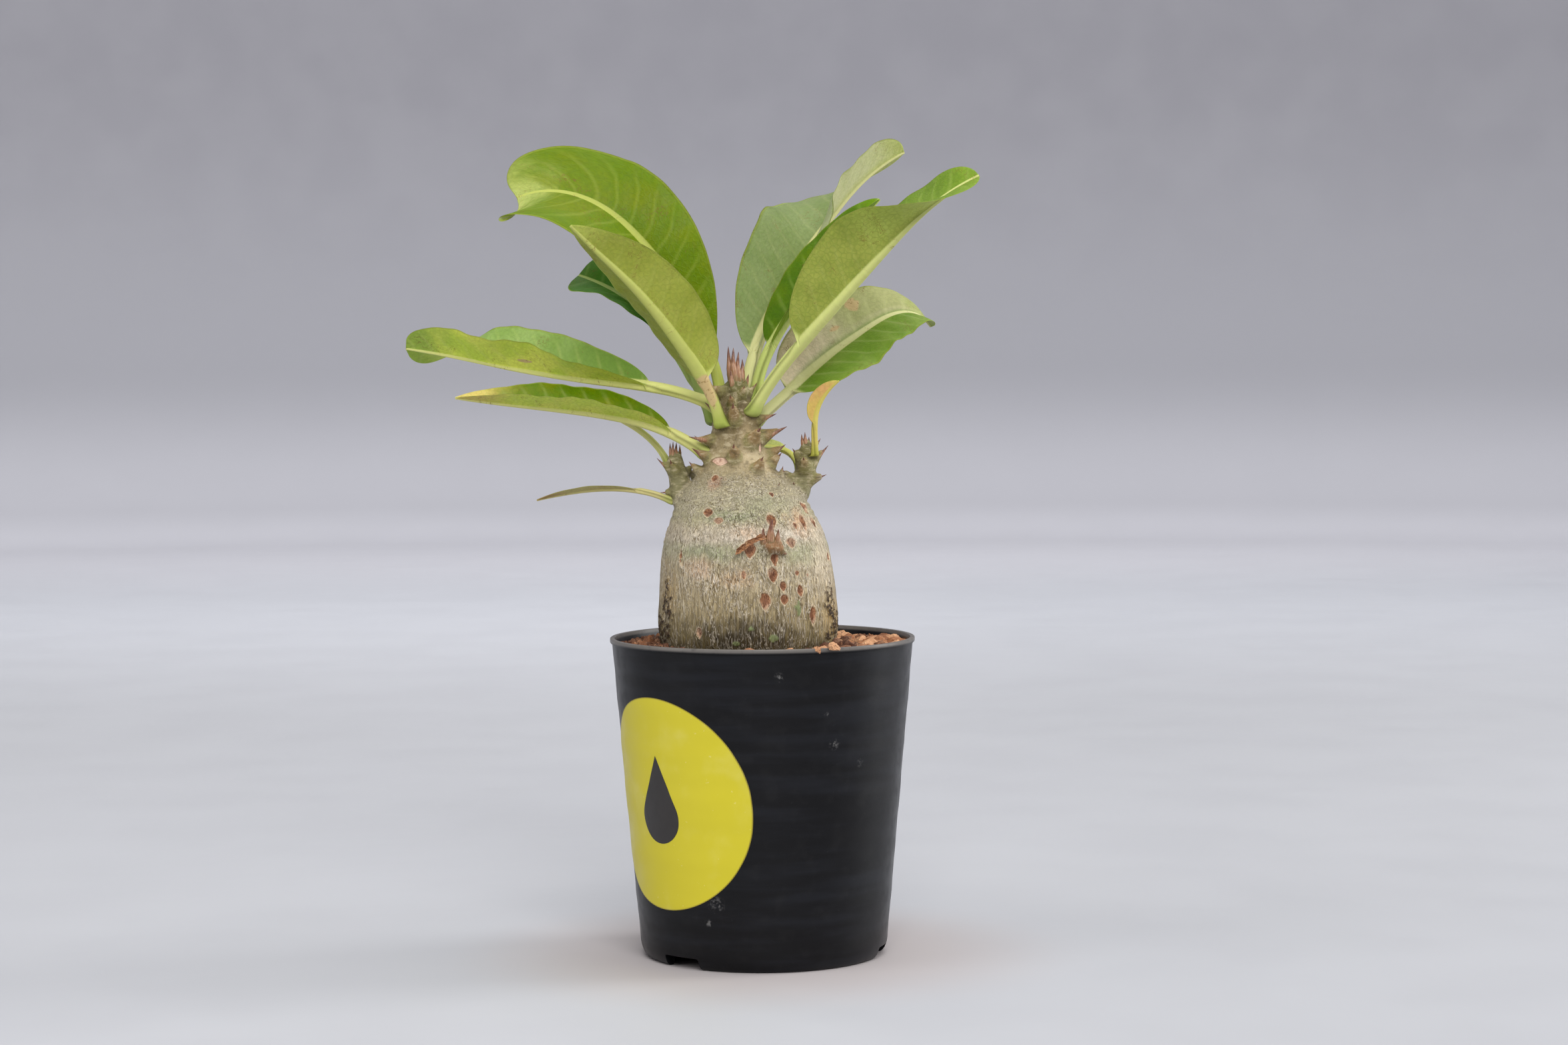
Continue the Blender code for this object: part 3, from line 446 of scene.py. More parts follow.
# base is the compass angle on the stem and the height, or a point of its own with the root that it grew from.
# heading, rise, roll and fold are read at even steps. fullness is two powers: low ones fill out base and tip.
# waves are the height as a share of the half width, the count and the phase. lobes are how far, in mm, each
# half of the blade runs ahead of the midrib near the tip.
LEAVES = {
    "leaf_01": dict(
        base=(130, 165), length=96, stalk=12, width=35, fullness=(0.75, 0.42), waves=(0.06, 3, 40),
        lobes=(15, 12), heading=(136, 154, 160, 163, 168, 176, 184),
        rise=(80, 63, 59, 51, 38, 13, -24),
        roll=(30, 50, 52, 52, 50, 46, 30), fold=(45, 30, 25, 10, -6),
    ),
    "leaf_02": dict(
        base=(241, 157.5), length=74, stalk=14, width=28, fullness=(0.35, 0.72), waves=(0.04, 2, 120),
        heading=(206, 204, 203, 202, 202), rise=(74, 55, 50, 42, 44),
        roll=(-50, -50, -48, -40, -32), fold=(56, 50, 40, 26),
    ),
    "leaf_03": dict(
        base=(146, 158.5), length=68, stalk=14, width=23, fullness=(1.1, 0.34), waves=(0.06, 2, 0),
        heading=(140, 141, 143, 146, 150), rise=(64, 52, 42, 28, 16),
        roll=(30, 36, 36, 36, 40), fold=(60, 56, 38, 12),
    ),
    "leaf_04": dict(
        base=(182, 162.6), length=96, stalk=20, width=29, fullness=(0.6, 0.4), waves=(0.05, 3, 0),
        heading=(171, 168, 168, 168, 168), rise=(24, 7, 8, 11, 8),
        roll=(20, 20, 15, 5, -45), fold=(45, 45, 50, 35, 0),
    ),
    "leaf_05": dict(
        base=(193, 149), length=75, stalk=11, width=21, fullness=(0.55, 0.75), waves=(0.04, 3, 60),
        heading=(187, 186, 186, 186), rise=(36, 12, 6, 8), roll=(12, 12, 12, 10), fold=(36, 34, 36, 32),
    ),
    "leaf_06": dict(
        base=(-27.2, 1.8, 134.6), root=(-22.6, 2.0, 134.0), length=40, stalk=9, width=8, fullness=(0.8, 0.8),
        waves=(0, 1, 0), heading=(182, 180, 178, 178), rise=(24, 4, -8, -14), roll=(0, -4, -8, -10),
        fold=(14, 10),
    ),
    "leaf_07": dict(
        base=(-27.7, 5.4, 145.4), root=(-25.2, 2.4, 144.8), length=36, stalk=20, width=11,
        fullness=(0.6, 0.7), waves=(0.04, 2, 0), heading=(160, 165, 168, 168), rise=(62, 36, 24, 12),
        roll=(20, 20, 20, 20), fold=(35, 20),
    ),
    "leaf_08": dict(
        base=(60, 166), length=106, stalk=13, width=37, fullness=(0.55, 0.5), waves=(0.05, 3, 80),
        heading=(67, 56, 51, 41, 28), rise=(67, 48, 44, 41, 25),
        roll=(0, -6, -10, 24, 40), fold=(55, 52, 46, 22, 12),
    ),
    "leaf_09": dict(
        base=(321, 161.5), length=97, stalk=25, width=33, fullness=(0.45, 0.52), waves=(0.03, 2, 30),
        heading=(-30, -27, -24, -21, -5), rise=(57, 45, 45, 42, 25),
        roll=(12, 12, 12, 8, -12, -42), fold=(62, 65, 64, 42, 18, 14),
    ),
    "leaf_10": dict(
        base=(16, 165.5), length=69, stalk=15, width=23, fullness=(0.5, 0.6), waves=(0.04, 2, 200),
        heading=(-3, 6, 0, 1), rise=(81, 55, 54, 46), roll=(-14, -16, -18, -15), fold=(32, 30, 27),
    ),
    "leaf_11": dict(
        base=(28, 158.2), length=74, stalk=14, width=31, fullness=(0.45, 0.6), waves=(0.07, 3, 150),
        heading=(30, 35, 35, 28, 44), rise=(36, 36, 30, 22, -45),
        roll=(-33, -33, -33, -33, -25), fold=(18, 15, 12),
    ),
    "leaf_12": dict(
        base=(15.6, -0.5, 147.8), root=(13.3, 3, 147.2), length=24, stalk=9, width=7, fullness=(0.6, 0.8),
        waves=(0.03, 2, 0), heading=(20, 10, 0, -5), rise=(90, 88, 60, 36), roll=(10, 25, 30, 34),
        fold=(62, 54),
    ),
    "leaf_13": dict(
        base=(10.9, 7.2, 143.4), root=(12.2, 3.0, 142.6), length=25, stalk=8, width=7, fullness=(0.6, 0.8),
        waves=(0.05, 2, 90), heading=(110, 150, 168, 176), rise=(64, 20, -2, -8), roll=(20, 20, 20, 20),
        fold=(20, 12),
    ),
}
SMALL_LEAVES = ("leaf_06", "leaf_07", "leaf_12", "leaf_13")
STALK_HALF_WIDTH = 1.6
SMALL_STALK_HALF_WIDTH = 0.8
BLADE_THICKNESS = 0.34
LEAF_STATIONS = 116
LEAF_COLUMNS = 43  # odd, so that one runs along the midrib
VEIN_GAP = 6.2  # between side veins, along the midrib
VEIN_SWEEP = (0.35, 0.012)  # how far a side vein runs towards the tip as it leaves the midrib
QUILTING = 0.2  # rise of the blade between its side veins
ROOT_REACH = 3.2  # of the stalk, back into the bark
LOBE_START = 0.7  # where on the blade its halves begin to run ahead


def smooth_through(places, values, at):
    """A smooth curve through values at given places, read at others."""
    places, values = np.asarray(places, float), np.asarray(values, float)
    at = np.clip(at, places[0], places[-1])
    slopes = np.gradient(values, places)
    index = np.clip(np.searchsorted(places, at) - 1, 0, len(places) - 2)
    gap = places[index + 1] - places[index]
    part = (at - places[index]) / gap
    rest = 1 - part
    ends = (1 + 2 * part) * rest**2 * values[index] + part**2 * (3 - 2 * part) * values[index + 1]
    return ends + gap * part * rest * (rest * slopes[index] - part * slopes[index + 1])


def evenly(values, along):
    return smooth_through(np.linspace(0, 1, len(values)), values, along)


def trunk_at(height):
    """Middle in x and radius of the trunk at a height."""
    return np.interp(height, TRUNK[:, 0], TRUNK[:, 1]), np.interp(height, TRUNK[:, 0], TRUNK[:, 2])


def leaf_base(leaf):
    """Where the leaf stalk leaves the bark, and the place inside the stem that it grew from."""
    if len(leaf["base"]) == 3:
        return np.array(leaf["base"]), np.array(leaf["root"])
    compass, height = leaf["base"]
    middle, radius = trunk_at(height)
    turned_up = math.sin(math.radians(leaf["fold"][0] + abs(leaf["roll"][0])))
    clear = 0.4 + (0.3 + 0.85 * STALK_HALF_WIDTH * turned_up) * math.sin(math.radians(leaf["rise"][0]))
    base = np.array((*on_circle(compass, radius + clear, middle), height))
    return base, np.array((middle, 0, height - 1.5))


def midrib(leaf, along):
    """Points along the middle of the leaf, and the directions across it and up from its face."""
    heading, rise, roll = (np.radians(evenly(leaf[key], along)) for key in ("heading", "rise", "roll"))
    level = np.stack([np.cos(heading), np.sin(heading), 0 * heading], -1)
    up = np.array((0, 0, 1.0))
    forward = level * np.cos(rise)[:, None] + up * np.sin(rise)[:, None]
    face = -level * np.sin(rise)[:, None] + up * np.cos(rise)[:, None]
    side = np.cross(forward, face)
    across = side * np.cos(roll)[:, None] + face * np.sin(roll)[:, None]
    normal = face * np.cos(roll)[:, None] - side * np.sin(roll)[:, None]
    steps = (forward[1:] + forward[:-1]) / 2 * leaf["length"] * np.diff(along)[:, None]
    base, root = leaf_base(leaf)
    middle = np.concatenate([base[None], base + np.cumsum(steps, 0)])
    return middle, forward, across, normal, root


def half_width(leaf, blade, stalk):
    rising, falling = leaf["fullness"]
    fullest = rising / (rising + falling)
    shape = blade**rising * (1 - blade) ** falling / (fullest**rising * (1 - fullest) ** falling)
    return np.maximum(leaf["width"] / 2 * shape, stalk * (1 - 0.8 * blade))


def leaf_cut(leaf, blade, run, half, rib, rib_half, fold, places):
    """One cut across the leaf: each column's reach, its way out and up from the midrib, its lean and its
    ripple, and what lies over and under the sheet there."""
    reach = places * half
    sides = np.sign(places)
    middle = len(places) // 2
    out = reach[middle:]
    between = (out[1:] + out[:-1]) / 2
    soft = fold * (1 - np.exp(-between / (0.6 * rib_half))) * (1.08 - 0.16 * between / half)
    aside = np.concatenate([[0], np.cumsum(np.diff(out) * np.cos(soft))])
    raised = np.concatenate([[0], np.cumsum(np.diff(out) * np.sin(soft))])
    lean = np.concatenate([[0], (soft[1:] + soft[:-1]) / 2, soft[-1:]])
    aside, raised, lean = (np.concatenate([values[:0:-1], values]) for values in (aside, raised, lean))
    height, count, phase = leaf["waves"]
    wave = np.sin(math.tau * count * blade + math.radians(phase) + 1.3 * sides)
    ruffle = np.sin(math.tau * (3.3 * count * blade + 0.13 * phase) + 2.1 * sides) * 0.018 * half
    ripple = (wave * height * half + ruffle) * places**2 * math.sin(math.pi * blade)
    edge = np.sqrt(np.clip(1 - np.abs(places) ** 9, 0, 1))
    inside = np.clip(np.abs(reach) / rib_half, 0, 1)
    bulge = rib * np.sqrt(1 - inside**2) * (1 + 0.25 * inside**2)
    stalk = max(0.0, 1 - 9 * blade)
    dome = rib * (0.7 * stalk - 0.1 * (1 - stalk)) * np.sqrt(1 - inside**2)
    vein = (run - VEIN_SWEEP[0] * np.abs(reach) - VEIN_SWEEP[1] * reach**2) / VEIN_GAP + 0.25 * sides
    clear = np.clip((np.abs(reach) - rib_half) / 2.5, 0, 1) * (1 - places**4) * min(1, 8 * blade)
    puff = QUILTING * np.abs(np.sin(math.pi * vein)) * clear * min(1, half / 10)
    thick = BLADE_THICKNESS / 2 * edge
    return reach, sides * aside, raised, sides * lean, ripple, thick + dome + puff, thick + bulge - puff


def stalk_root(ring, forward, inward, reach):
    """Three rings that carry the stalk back into the bark, from a ring at its foot."""
    centre = ring.mean(0)
    rings = []
    for step in (3, 2, 1):
        share = step / 3
        way = -forward * (1 - 0.75 * share) + inward * share
        shift = way / np.linalg.norm(way) * reach * share
        rings.append(centre + (ring - centre) * (1 + 0.16 * share) + shift)
    return rings


def leaf_mesh(name, leaf):
    """A leaf as rings round its cuts, with its own measure of place noted for its material."""
    small = name in SMALL_LEAVES
    stalk = SMALL_STALK_HALF_WIDTH if small else STALK_HALF_WIDTH
    even = np.linspace(0, 1, LEAF_STATIONS // (2 if small else 1))
    along = 0.55 * even + 0.45 * (0.5 - 0.5 * np.cos(math.pi * even))
    middle, forward, across, normal, root = midrib(leaf, along)
    stalk_share = leaf["stalk"] / leaf["length"]
    blade = np.clip((along - stalk_share) / (1 - stalk_share), 0, 1)
    half = half_width(leaf, blade, stalk)
    foot = 1 + 0.35 * np.exp(-along * leaf["length"] / 2.5)
    half = half * foot
    rib = stalk * np.interp(blade, (0, 1), (1.1, 0.2)) * foot
    rib_half = np.minimum(stalk * foot * np.interp(blade, (0, 0.3, 1), (1.0, 0.8, 0.25)), half)
    fold = np.radians(evenly(leaf["fold"], blade)) * np.clip(along / stalk_share * 5 - 4, 0, 1)
    even = np.linspace(-1, 1, LEAF_COLUMNS)
    places = np.sign(even) * np.abs(even) ** 1.5
    lobes = leaf.get("lobes", (0, 0))
    rings, facts, shares = [], [], []
    for index in range(len(along)):
        run = along[index] * leaf["length"]
        sizes = half[index], rib[index], rib_half[index], fold[index]
        reach, aside, raised, lean, ripple, over, under = leaf_cut(leaf, blade[index], run, *sizes, places)
        straight = np.outer(np.cos(lean), normal[index]) - np.outer(np.sin(lean), across[index])
        sheet = middle[index] + np.outer(aside, across[index]) + np.outer(raised, normal[index])
        lobe = math.sin(math.pi * max(0, (blade[index] - LOBE_START) / (1 - LOBE_START)))
        ahead = np.where(places < 0, *lobes) * np.abs(places) ** 1.5 * lobe
        sheet = sheet + straight * ripple[:, None] + np.outer(ahead, forward[index])
        upper = sheet + straight * over[:, None]
        lower = sheet - straight * under[:, None]
        rings.append(np.concatenate([upper, lower[::-1]]))
        for way, below in ((slice(None), 0), (slice(None, None, -1), 1)):
            facts += [(x * MM, run * MM, below) for x in reach[way]]
            spread = zip(places[way], reach[way])
            shares += [(place, blade[index], abs(x) / rib_half[index]) for place, x in spread]
    inward = root - middle[0]
    inward /= np.linalg.norm(inward)
    rings = stalk_root(rings[0], forward[0], inward, ROOT_REACH * (0.5 if small else 1)) + rings
    ring = 2 * LEAF_COLUMNS
    facts = facts[:ring] * 3 + facts
    shares = shares[:ring] * 3 + shares
    faces = [face[::-1] for face in capped(len(rings), ring)]
    made = shaped(name + "_blade", np.concatenate(rings), faces)
    note(made, "leaf", facts)
    note(made, "share", shares)
    return made


def veins_group():
    """Masks of a leaf's midrib, side veins, net of small veins and margin, from its own measure of place."""
    group = bpy.data.node_groups.new("leaf veins", "ShaderNodeTree")
    face = group.interface
    face.new_socket("Leaf", in_out="INPUT", socket_type="NodeSocketVector")
    face.new_socket("Share", in_out="INPUT", socket_type="NodeSocketVector")
    face.new_socket("Net Size", in_out="INPUT", socket_type="NodeSocketFloat")
    for name in ("Rib", "Veins", "Net", "Margin", "Stalk"):
        face.new_socket(name, in_out="OUTPUT", socket_type="NodeSocketFloat")
    given = group.nodes.new("NodeGroupInput").outputs
    result = group.nodes.new("NodeGroupOutput")
    leaf = group.nodes.new("ShaderNodeSeparateXYZ")
    share = group.nodes.new("ShaderNodeSeparateXYZ")
    group.links.new(given["Leaf"], leaf.inputs[0])
    group.links.new(given["Share"], share.inputs[0])
    aside = times(group, calc(group, "ABSOLUTE", leaf.outputs["X"]), 1 / MM)
    run = times(group, leaf.outputs["Y"], 1 / MM)
    wander = add(group, "TexNoise", {"Vector": given["Leaf"], "Scale": 1 / (9 * MM), "Detail": 1.0})
    run = calc(group, "ADD", run, times(group, wander, 2.6))
    swept = times(group, aside, VEIN_SWEEP[0])
    bent = times(group, times(group, aside, aside), VEIN_SWEEP[1])
    side = times(group, calc(group, "SIGN", leaf.outputs["X"]), 0.25)
    line = calc(group, "DIVIDE", calc(group, "SUBTRACT", run, calc(group, "ADD", swept, bent)), VEIN_GAP)
    turn = calc(group, "FRACT", calc(group, "ADD", line, side))
    away = times(group, calc(group, "ABSOLUTE", calc(group, "SUBTRACT", turn, 0.5)), 2.0)
    outward = calc(group, "ABSOLUTE", share.outputs["X"])
    fade = span(group, outward, 0.55, 0.95, 1.0, 0.25)
    stalk = span(group, share.outputs["Y"], 0.002, 0.03, 1.0, 0.0)
    blade = calc(group, "SUBTRACT", 1.0, stalk)
    veins = times(group, times(group, span(group, away, 0.66, 1.0), fade), blade)
    rib = calc(group, "MAXIMUM", stalk, span(group, share.outputs["Z"], 0.9, 1.35, 1.0, 0.0))
    margin = times(group, span(group, outward, 0.945, 0.985), blade)
    inputs = {"Vector": given["Leaf"], "Scale": given["Net Size"], "Randomness": 0.9}
    cells = add(group, "TexVoronoi", inputs, "Distance", feature="DISTANCE_TO_EDGE")
    net = times(group, span(group, cells, 0.02, 0.16, 1.0, 0.0), calc(group, "SUBTRACT", 1.0, rib))
    for name, value in (("Rib", rib), ("Veins", veins), ("Net", net), ("Margin", margin), ("Stalk", stalk)):
        group.links.new(value, result.inputs[name])
    return group


VEINS = veins_group()
# Screen colours of each leaf: face, its second tint, underside, its second tint, midrib, then the strength of
# the side veins and of the net, and the colour and start of a faded tip. The undersides are paler than the
# faces, as the leaves are, and are brightened further as painted light from below; leaf_10's colours are
# darkened as painted shade.
LEAF_COLOURS = {
    "leaf_01": (0x586E00, 0x627000, 0x828E2A, 0x8A9634, 0xA2A850, 0.14, 0.12, 0xA0A85A, 0.9),
    "leaf_02": (0x5E7C10, 0x6C8418, 0x828834, 0x888C3C, 0xA6AA5C, 0.1, 0.1, 0x9CA24C, 0.9),
    "leaf_03": (0x36640A, 0x437220, 0x446E1C, 0x50782E, 0x98A860, 0.12, 0.12, 0x446820, 0.9),
    "leaf_04": (0x7B9448, 0x889E56, 0xCAD056, 0xB2C446, 0xCACA7C, 0.13, 0.1, 0x8DA242, 0.84),
    "leaf_05": (0x506A00, 0x687000, 0xB6C44E, 0xC2C658, 0xC4C27A, 0.12, 0.14, 0xBFAC5C, 0.8),
    "leaf_06": (0xA29468, 0xA08C5C, 0xB4A870, 0xB09C68, 0xBCB278, 0.1, 0.12, 0x9A7850, 0.8),
    "leaf_07": (0xA4AC4E, 0xB0B45E, 0xB4B662, 0xBCBA70, 0xC0BE78, 0.2, 0.12, 0xA9B060, 0.9),
    "leaf_08": (0x758251, 0x6D7C48, 0xA4A668, 0x9EA05E, 0xB6B47C, 0.09, 0.1, 0xA0A65C, 0.9),
    "leaf_09": (0x637B24, 0x6C832C, 0x7E8638, 0x8A9040, 0xB8BC74, 0.08, 0.2, 0x708828, 0.92),
    "leaf_10": (0x3F5C00, 0x4E6600, 0x566E06, 0x607610, 0xAEB868, 0.1, 0.12, 0x60800C, 0.92),
    "leaf_11": (0x5E7A20, 0x6E8432, 0x929A5E, 0x9CA070, 0xC0BE88, 0.12, 0.06, 0x8E9A50, 0.9),
    "leaf_12": (0xB89C54, 0xC08A5C, 0xBCA056, 0xC08E60, 0xB4A854, 0.1, 0.06, 0xBCAE58, 0.88),
    "leaf_13": (0xAAB064, 0xB2B670, 0xB0B26A, 0xB6B87A, 0xBCBC64, 0.1, 0.12, 0xA9B060, 0.9),
}
# Halves of a blade in another tint: side, start and end along the blade, also on the face, colour, strength.
# The pale halves of leaf_08 and leaf_11 are painted sheen, and leaf_09's paler underside near its twist is
# painted light where the blade lies in its own shade.
HALF_TINTS_AND_PAINTED_LIGHT = {
    "leaf_04": ((1, 0.55, 0.1, True, 0x5B7825, 0.9),),
    "leaf_08": ((1, 0.0, 0.01, True, 0xBCBC94, 0.5),),
    "leaf_09": ((1, 0.42, 0.58, False, 0x9FA94F, 0.9),),
    "leaf_11": ((-1, 0.0, 0.01, True, 0xDAC6AE, 0.85), (-1, 0.22, 0.58, True, 0x8C9058, 0.9)),
}
LEAF_MARGIN = 0xA8B44E
MARKED = 0x6A4A26
CORKY = 0xB49A70
# Healed marks: aside and along the leaf, size across and along
LEAF_MARKS = {
    "leaf_01": ((14, 88, 0.7, 1.8),),
    "leaf_02": ((-0.2, 10.5, 1.6, 5.6), (5.2, 22, 0.9, 0.7), (4.4, 27, 0.6, 0.5)),
    "leaf_11": ((-9.5, 50, 2.6, 2.0), (-6, 40, 0.8, 2.0)),
    "leaf_04": ((-5, 58, 0.7, 2.4),),
}


def leaf_marks(name, tree, leaf):
    """Mask of a leaf's healed marks, or 0 where it has none."""
    corky = 0.0
    for aside, along, wide, tall in LEAF_MARKS.get(name, ()):
        shift = add(tree, "VectorMath", {0: leaf, 1: (aside * MM, along * MM, 0)}, operation="SUBTRACT")
        scaled = stretched(tree, shift, (1 / (wide * MM), 1 / (tall * MM), 0))
        away = add(tree, "VectorMath", {0: scaled}, "Value", operation="LENGTH")
        away = calc(tree, "ADD", away, times(tree, speckle(tree, leaf, 1.2, 3), 0.9))
        corky = calc(tree, "MAXIMUM", corky, span(tree, away, 1.25, 1.5, 1.0, 0.0))
    return corky


def leaf_scratches(tree, leaf):
    """Mask of thin healed scratches and dots, which lie in patches."""
    wavy = speckle(tree, leaf, 3.2, 3, 0.6, 0.8)
    thread = calc(tree, "ABSOLUTE", calc(tree, "SUBTRACT", wavy, 0.5))
    patches = span(tree, speckle(tree, leaf, 10, 2), 0.52, 0.64)
    scratches = times(tree, span(tree, thread, 0.0, 0.016, 0.7, 0.0), patches)
    dots = span(tree, speckle(tree, leaf, 0.8, 1), 0.74, 0.79, 0.0, 0.8)
    return calc(tree, "MAXIMUM", scratches, times(tree, dots, patches))


def leaf_ground(name, tree, leaf, share, under, blade):
    """Colour of the blade itself: face or underside, the tints of its halves, some of them painted sheen and
    painted light, and a faded tip.
    """
    face, face_tint, below, below_tint, _, _, _, tip, tip_start = LEAF_COLOURS[name]
    clouds = span(tree, speckle(tree, leaf, 11, 3), 0.38, 0.66)
    top = blend(tree, clouds, paint(face), paint(face_tint))
    low = blend(tree, clouds, paint(below), paint(below_tint))
    colour = blend(tree, under, top, low)
    # Tints of halves, among them painted sheen and painted light.
    for side, start, end, on_face, tint, strength in HALF_TINTS_AND_PAINTED_LIGHT.get(name, ()):
        across = times(tree, axis_of(tree, share, "X"), side)
        part = span(tree, across, 0.0, 0.3, 0.0, strength)
        part = times(tree, part, span(tree, blade, start, end))
        if not on_face:
            part = times(tree, part, under)
        colour = blend(tree, part, colour, paint(tint))
    wandering = calc(tree, "ADD", blade, times(tree, speckle(tree, leaf, 7, 3), 0.2))
    colour = blend(tree, span(tree, wandering, tip_start, tip_start + 0.22), colour, paint(tip))
    mottle = span(tree, speckle(tree, leaf, 1.1, 3), 0.3, 0.7, 0.93, 1.06)
    return blend(tree, 1.0, colour, add(tree, "CombineXYZ", {0: mottle, 1: mottle, 2: mottle}), "MULTIPLY")


def leaf_finish(name):
    """A leaf's material: its ground, then veins, midrib, margin and marks."""
    made, tree, shader = finish_of(name.replace("_", " "))
    rib_colour, vein_strength, net_strength = LEAF_COLOURS[name][4:7]
    leaf = noted(tree, "leaf")
    share = noted(tree, "share")
    under = axis_of(tree, leaf, "Z")
    blade = axis_of(tree, share, "Y")
    masks = tree.nodes.new("ShaderNodeGroup")
    masks.node_tree = VEINS
    for socket, value in (("Leaf", leaf), ("Share", share), ("Net Size", 1 / (1.5 * MM))):
        feed(tree, value, masks.inputs[socket])
    rib, veins, net, margin, stalk = masks.outputs.values()
    colour = leaf_ground(name, tree, leaf, share, under, blade)
    colour = blend(tree, times(tree, net, net_strength), colour, paint(0x4A6A16))
    colour = blend(tree, times(tree, veins, vein_strength), colour, paint(rib_colour))
    colour = blend(tree, times(tree, rib, 0.92), colour, paint(rib_colour))
    run = axis_of(tree, leaf, "Y")
    sheath = times(tree, stalk, span(tree, run, 0.0, 0.004, 0.45, 0.0))
    colour = blend(tree, sheath, colour, paint(0x6E8420))
    colour = blend(tree, times(tree, margin, 0.45), colour, paint(LEAF_MARGIN))
    colour = blend(tree, leaf_scratches(tree, leaf), colour, paint(MARKED))
    corky = leaf_marks(name, tree, leaf)
    if corky:
        spots = span(tree, speckle(tree, leaf, 0.7, 2), 0.56, 0.74, 0.0, 0.7)
        spotted = blend(tree, spots, paint(CORKY), paint(MARKED))
        colour = blend(tree, times(tree, corky, 0.9), colour, spotted)
    feed(tree, colour, shader.inputs["Base Color"])
    gloss = span(tree, speckle(tree, leaf, 2.5, 3), 0.3, 0.7, 0.4, 0.52)
    feed(tree, calc(tree, "ADD", gloss, times(tree, under, 0.16)), shader.inputs["Roughness"])
    relief = calc(tree, "ADD", times(tree, net, -0.5), times(tree, veins, -0.9))
    relief = calc(tree, "ADD", relief, times(tree, speckle(tree, leaf, 0.5, 2), 0.8))
    lift(tree, shader, relief, 0.09, 0.7)
    shader.inputs["Specular IOR Level"].default_value = 0.12
    shader.inputs["Subsurface Weight"].default_value = 0.12
    shader.inputs["Subsurface Scale"].default_value = 0.0015
    shader.inputs["Subsurface Radius"].default_value = (0.6, 1.0, 0.25)
    return made


for name, leaf in LEAVES.items():
    piece = leaf_mesh(name, leaf)
    piece.data.materials.append(leaf_finish(name))
    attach(piece, "root")
    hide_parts(name)

# The trunk
# A water-storing root and stem in one, swollen like a bottle, with two green shoots and a dead stub on its
# shoulder. Its bark is a net of fine silvery ridges, drawn out upwards, with sunken scars where leaves stood.
SOIL_LEVEL = 91.4
SWELL_RELIEF = 0.25
RIGHT_SHOOT = (
    ((2.0, 2.0, 128.0), 5.0), ((9.8, 2.5, 135.5), 4.2), ((12.2, 3.0, 142.0), 2.6),
    ((13.5, 2.4, 149.4), 1.9),
)
LEFT_SHOOT = (
    ((-17, 1.5, 127), 5.0), ((-21.6, 2, 134), 4.8), ((-24.2, 2.3, 140), 3.2), ((-25.4, 2.2, 146.6), 2.1),
)
FRONT_STUB = (((1.2, -17, 120), 2.8), ((2.5, -21.6, 120.8), 2.8), ((2.7, -23.2, 122.2), 2.2))
SHOOTS = (RIGHT_SHOOT, LEFT_SHOOT, FRONT_STUB)
# Spines on the trunk: height, compass, rise, length, radius of the knob of bark that each stands on
TRUNK_SPINES = (
    (166.0, 203, 22, 8.8, 2.1), (160.0, 208, 35, 5.0, 1.8), (157.8, 268, 42, 7.0, 2.8),
    (165.0, 296, 45, 3.6, 1.8), (165.5, 350, 50, 4.0, 1.4), (157.6, 346, 18, 6.4, 2.1),
    (152.4, 348, 22, 8.6, 2.8), (151.0, 304, 38, 7.2, 3.0), (147.0, 350, 32, 6.2, 2.4),
    (144.4, 334, 42, 5.2, 2.3), (143.0, 298, 44, 5.6, 2.5), (141.0, 336, 74, 3.2, 1.3),
    (152.0, 212, 8, 8.4, 2.3), (146.4, 213, 28, 6.8, 2.4), (146.8, 267, 38, 6.4, 2.6),
    (142.6, 191, 42, 4.2, 1.8), (139.5, 250, 60, 2.2, 1.1), (137.6, 310, 55, 2.2, 1.1),
    (162.0, 262, 40, 4.6, 2.0), (161.0, 320, 30, 4.6, 2.0),
)
BACK_SPINE_COUNT = 13
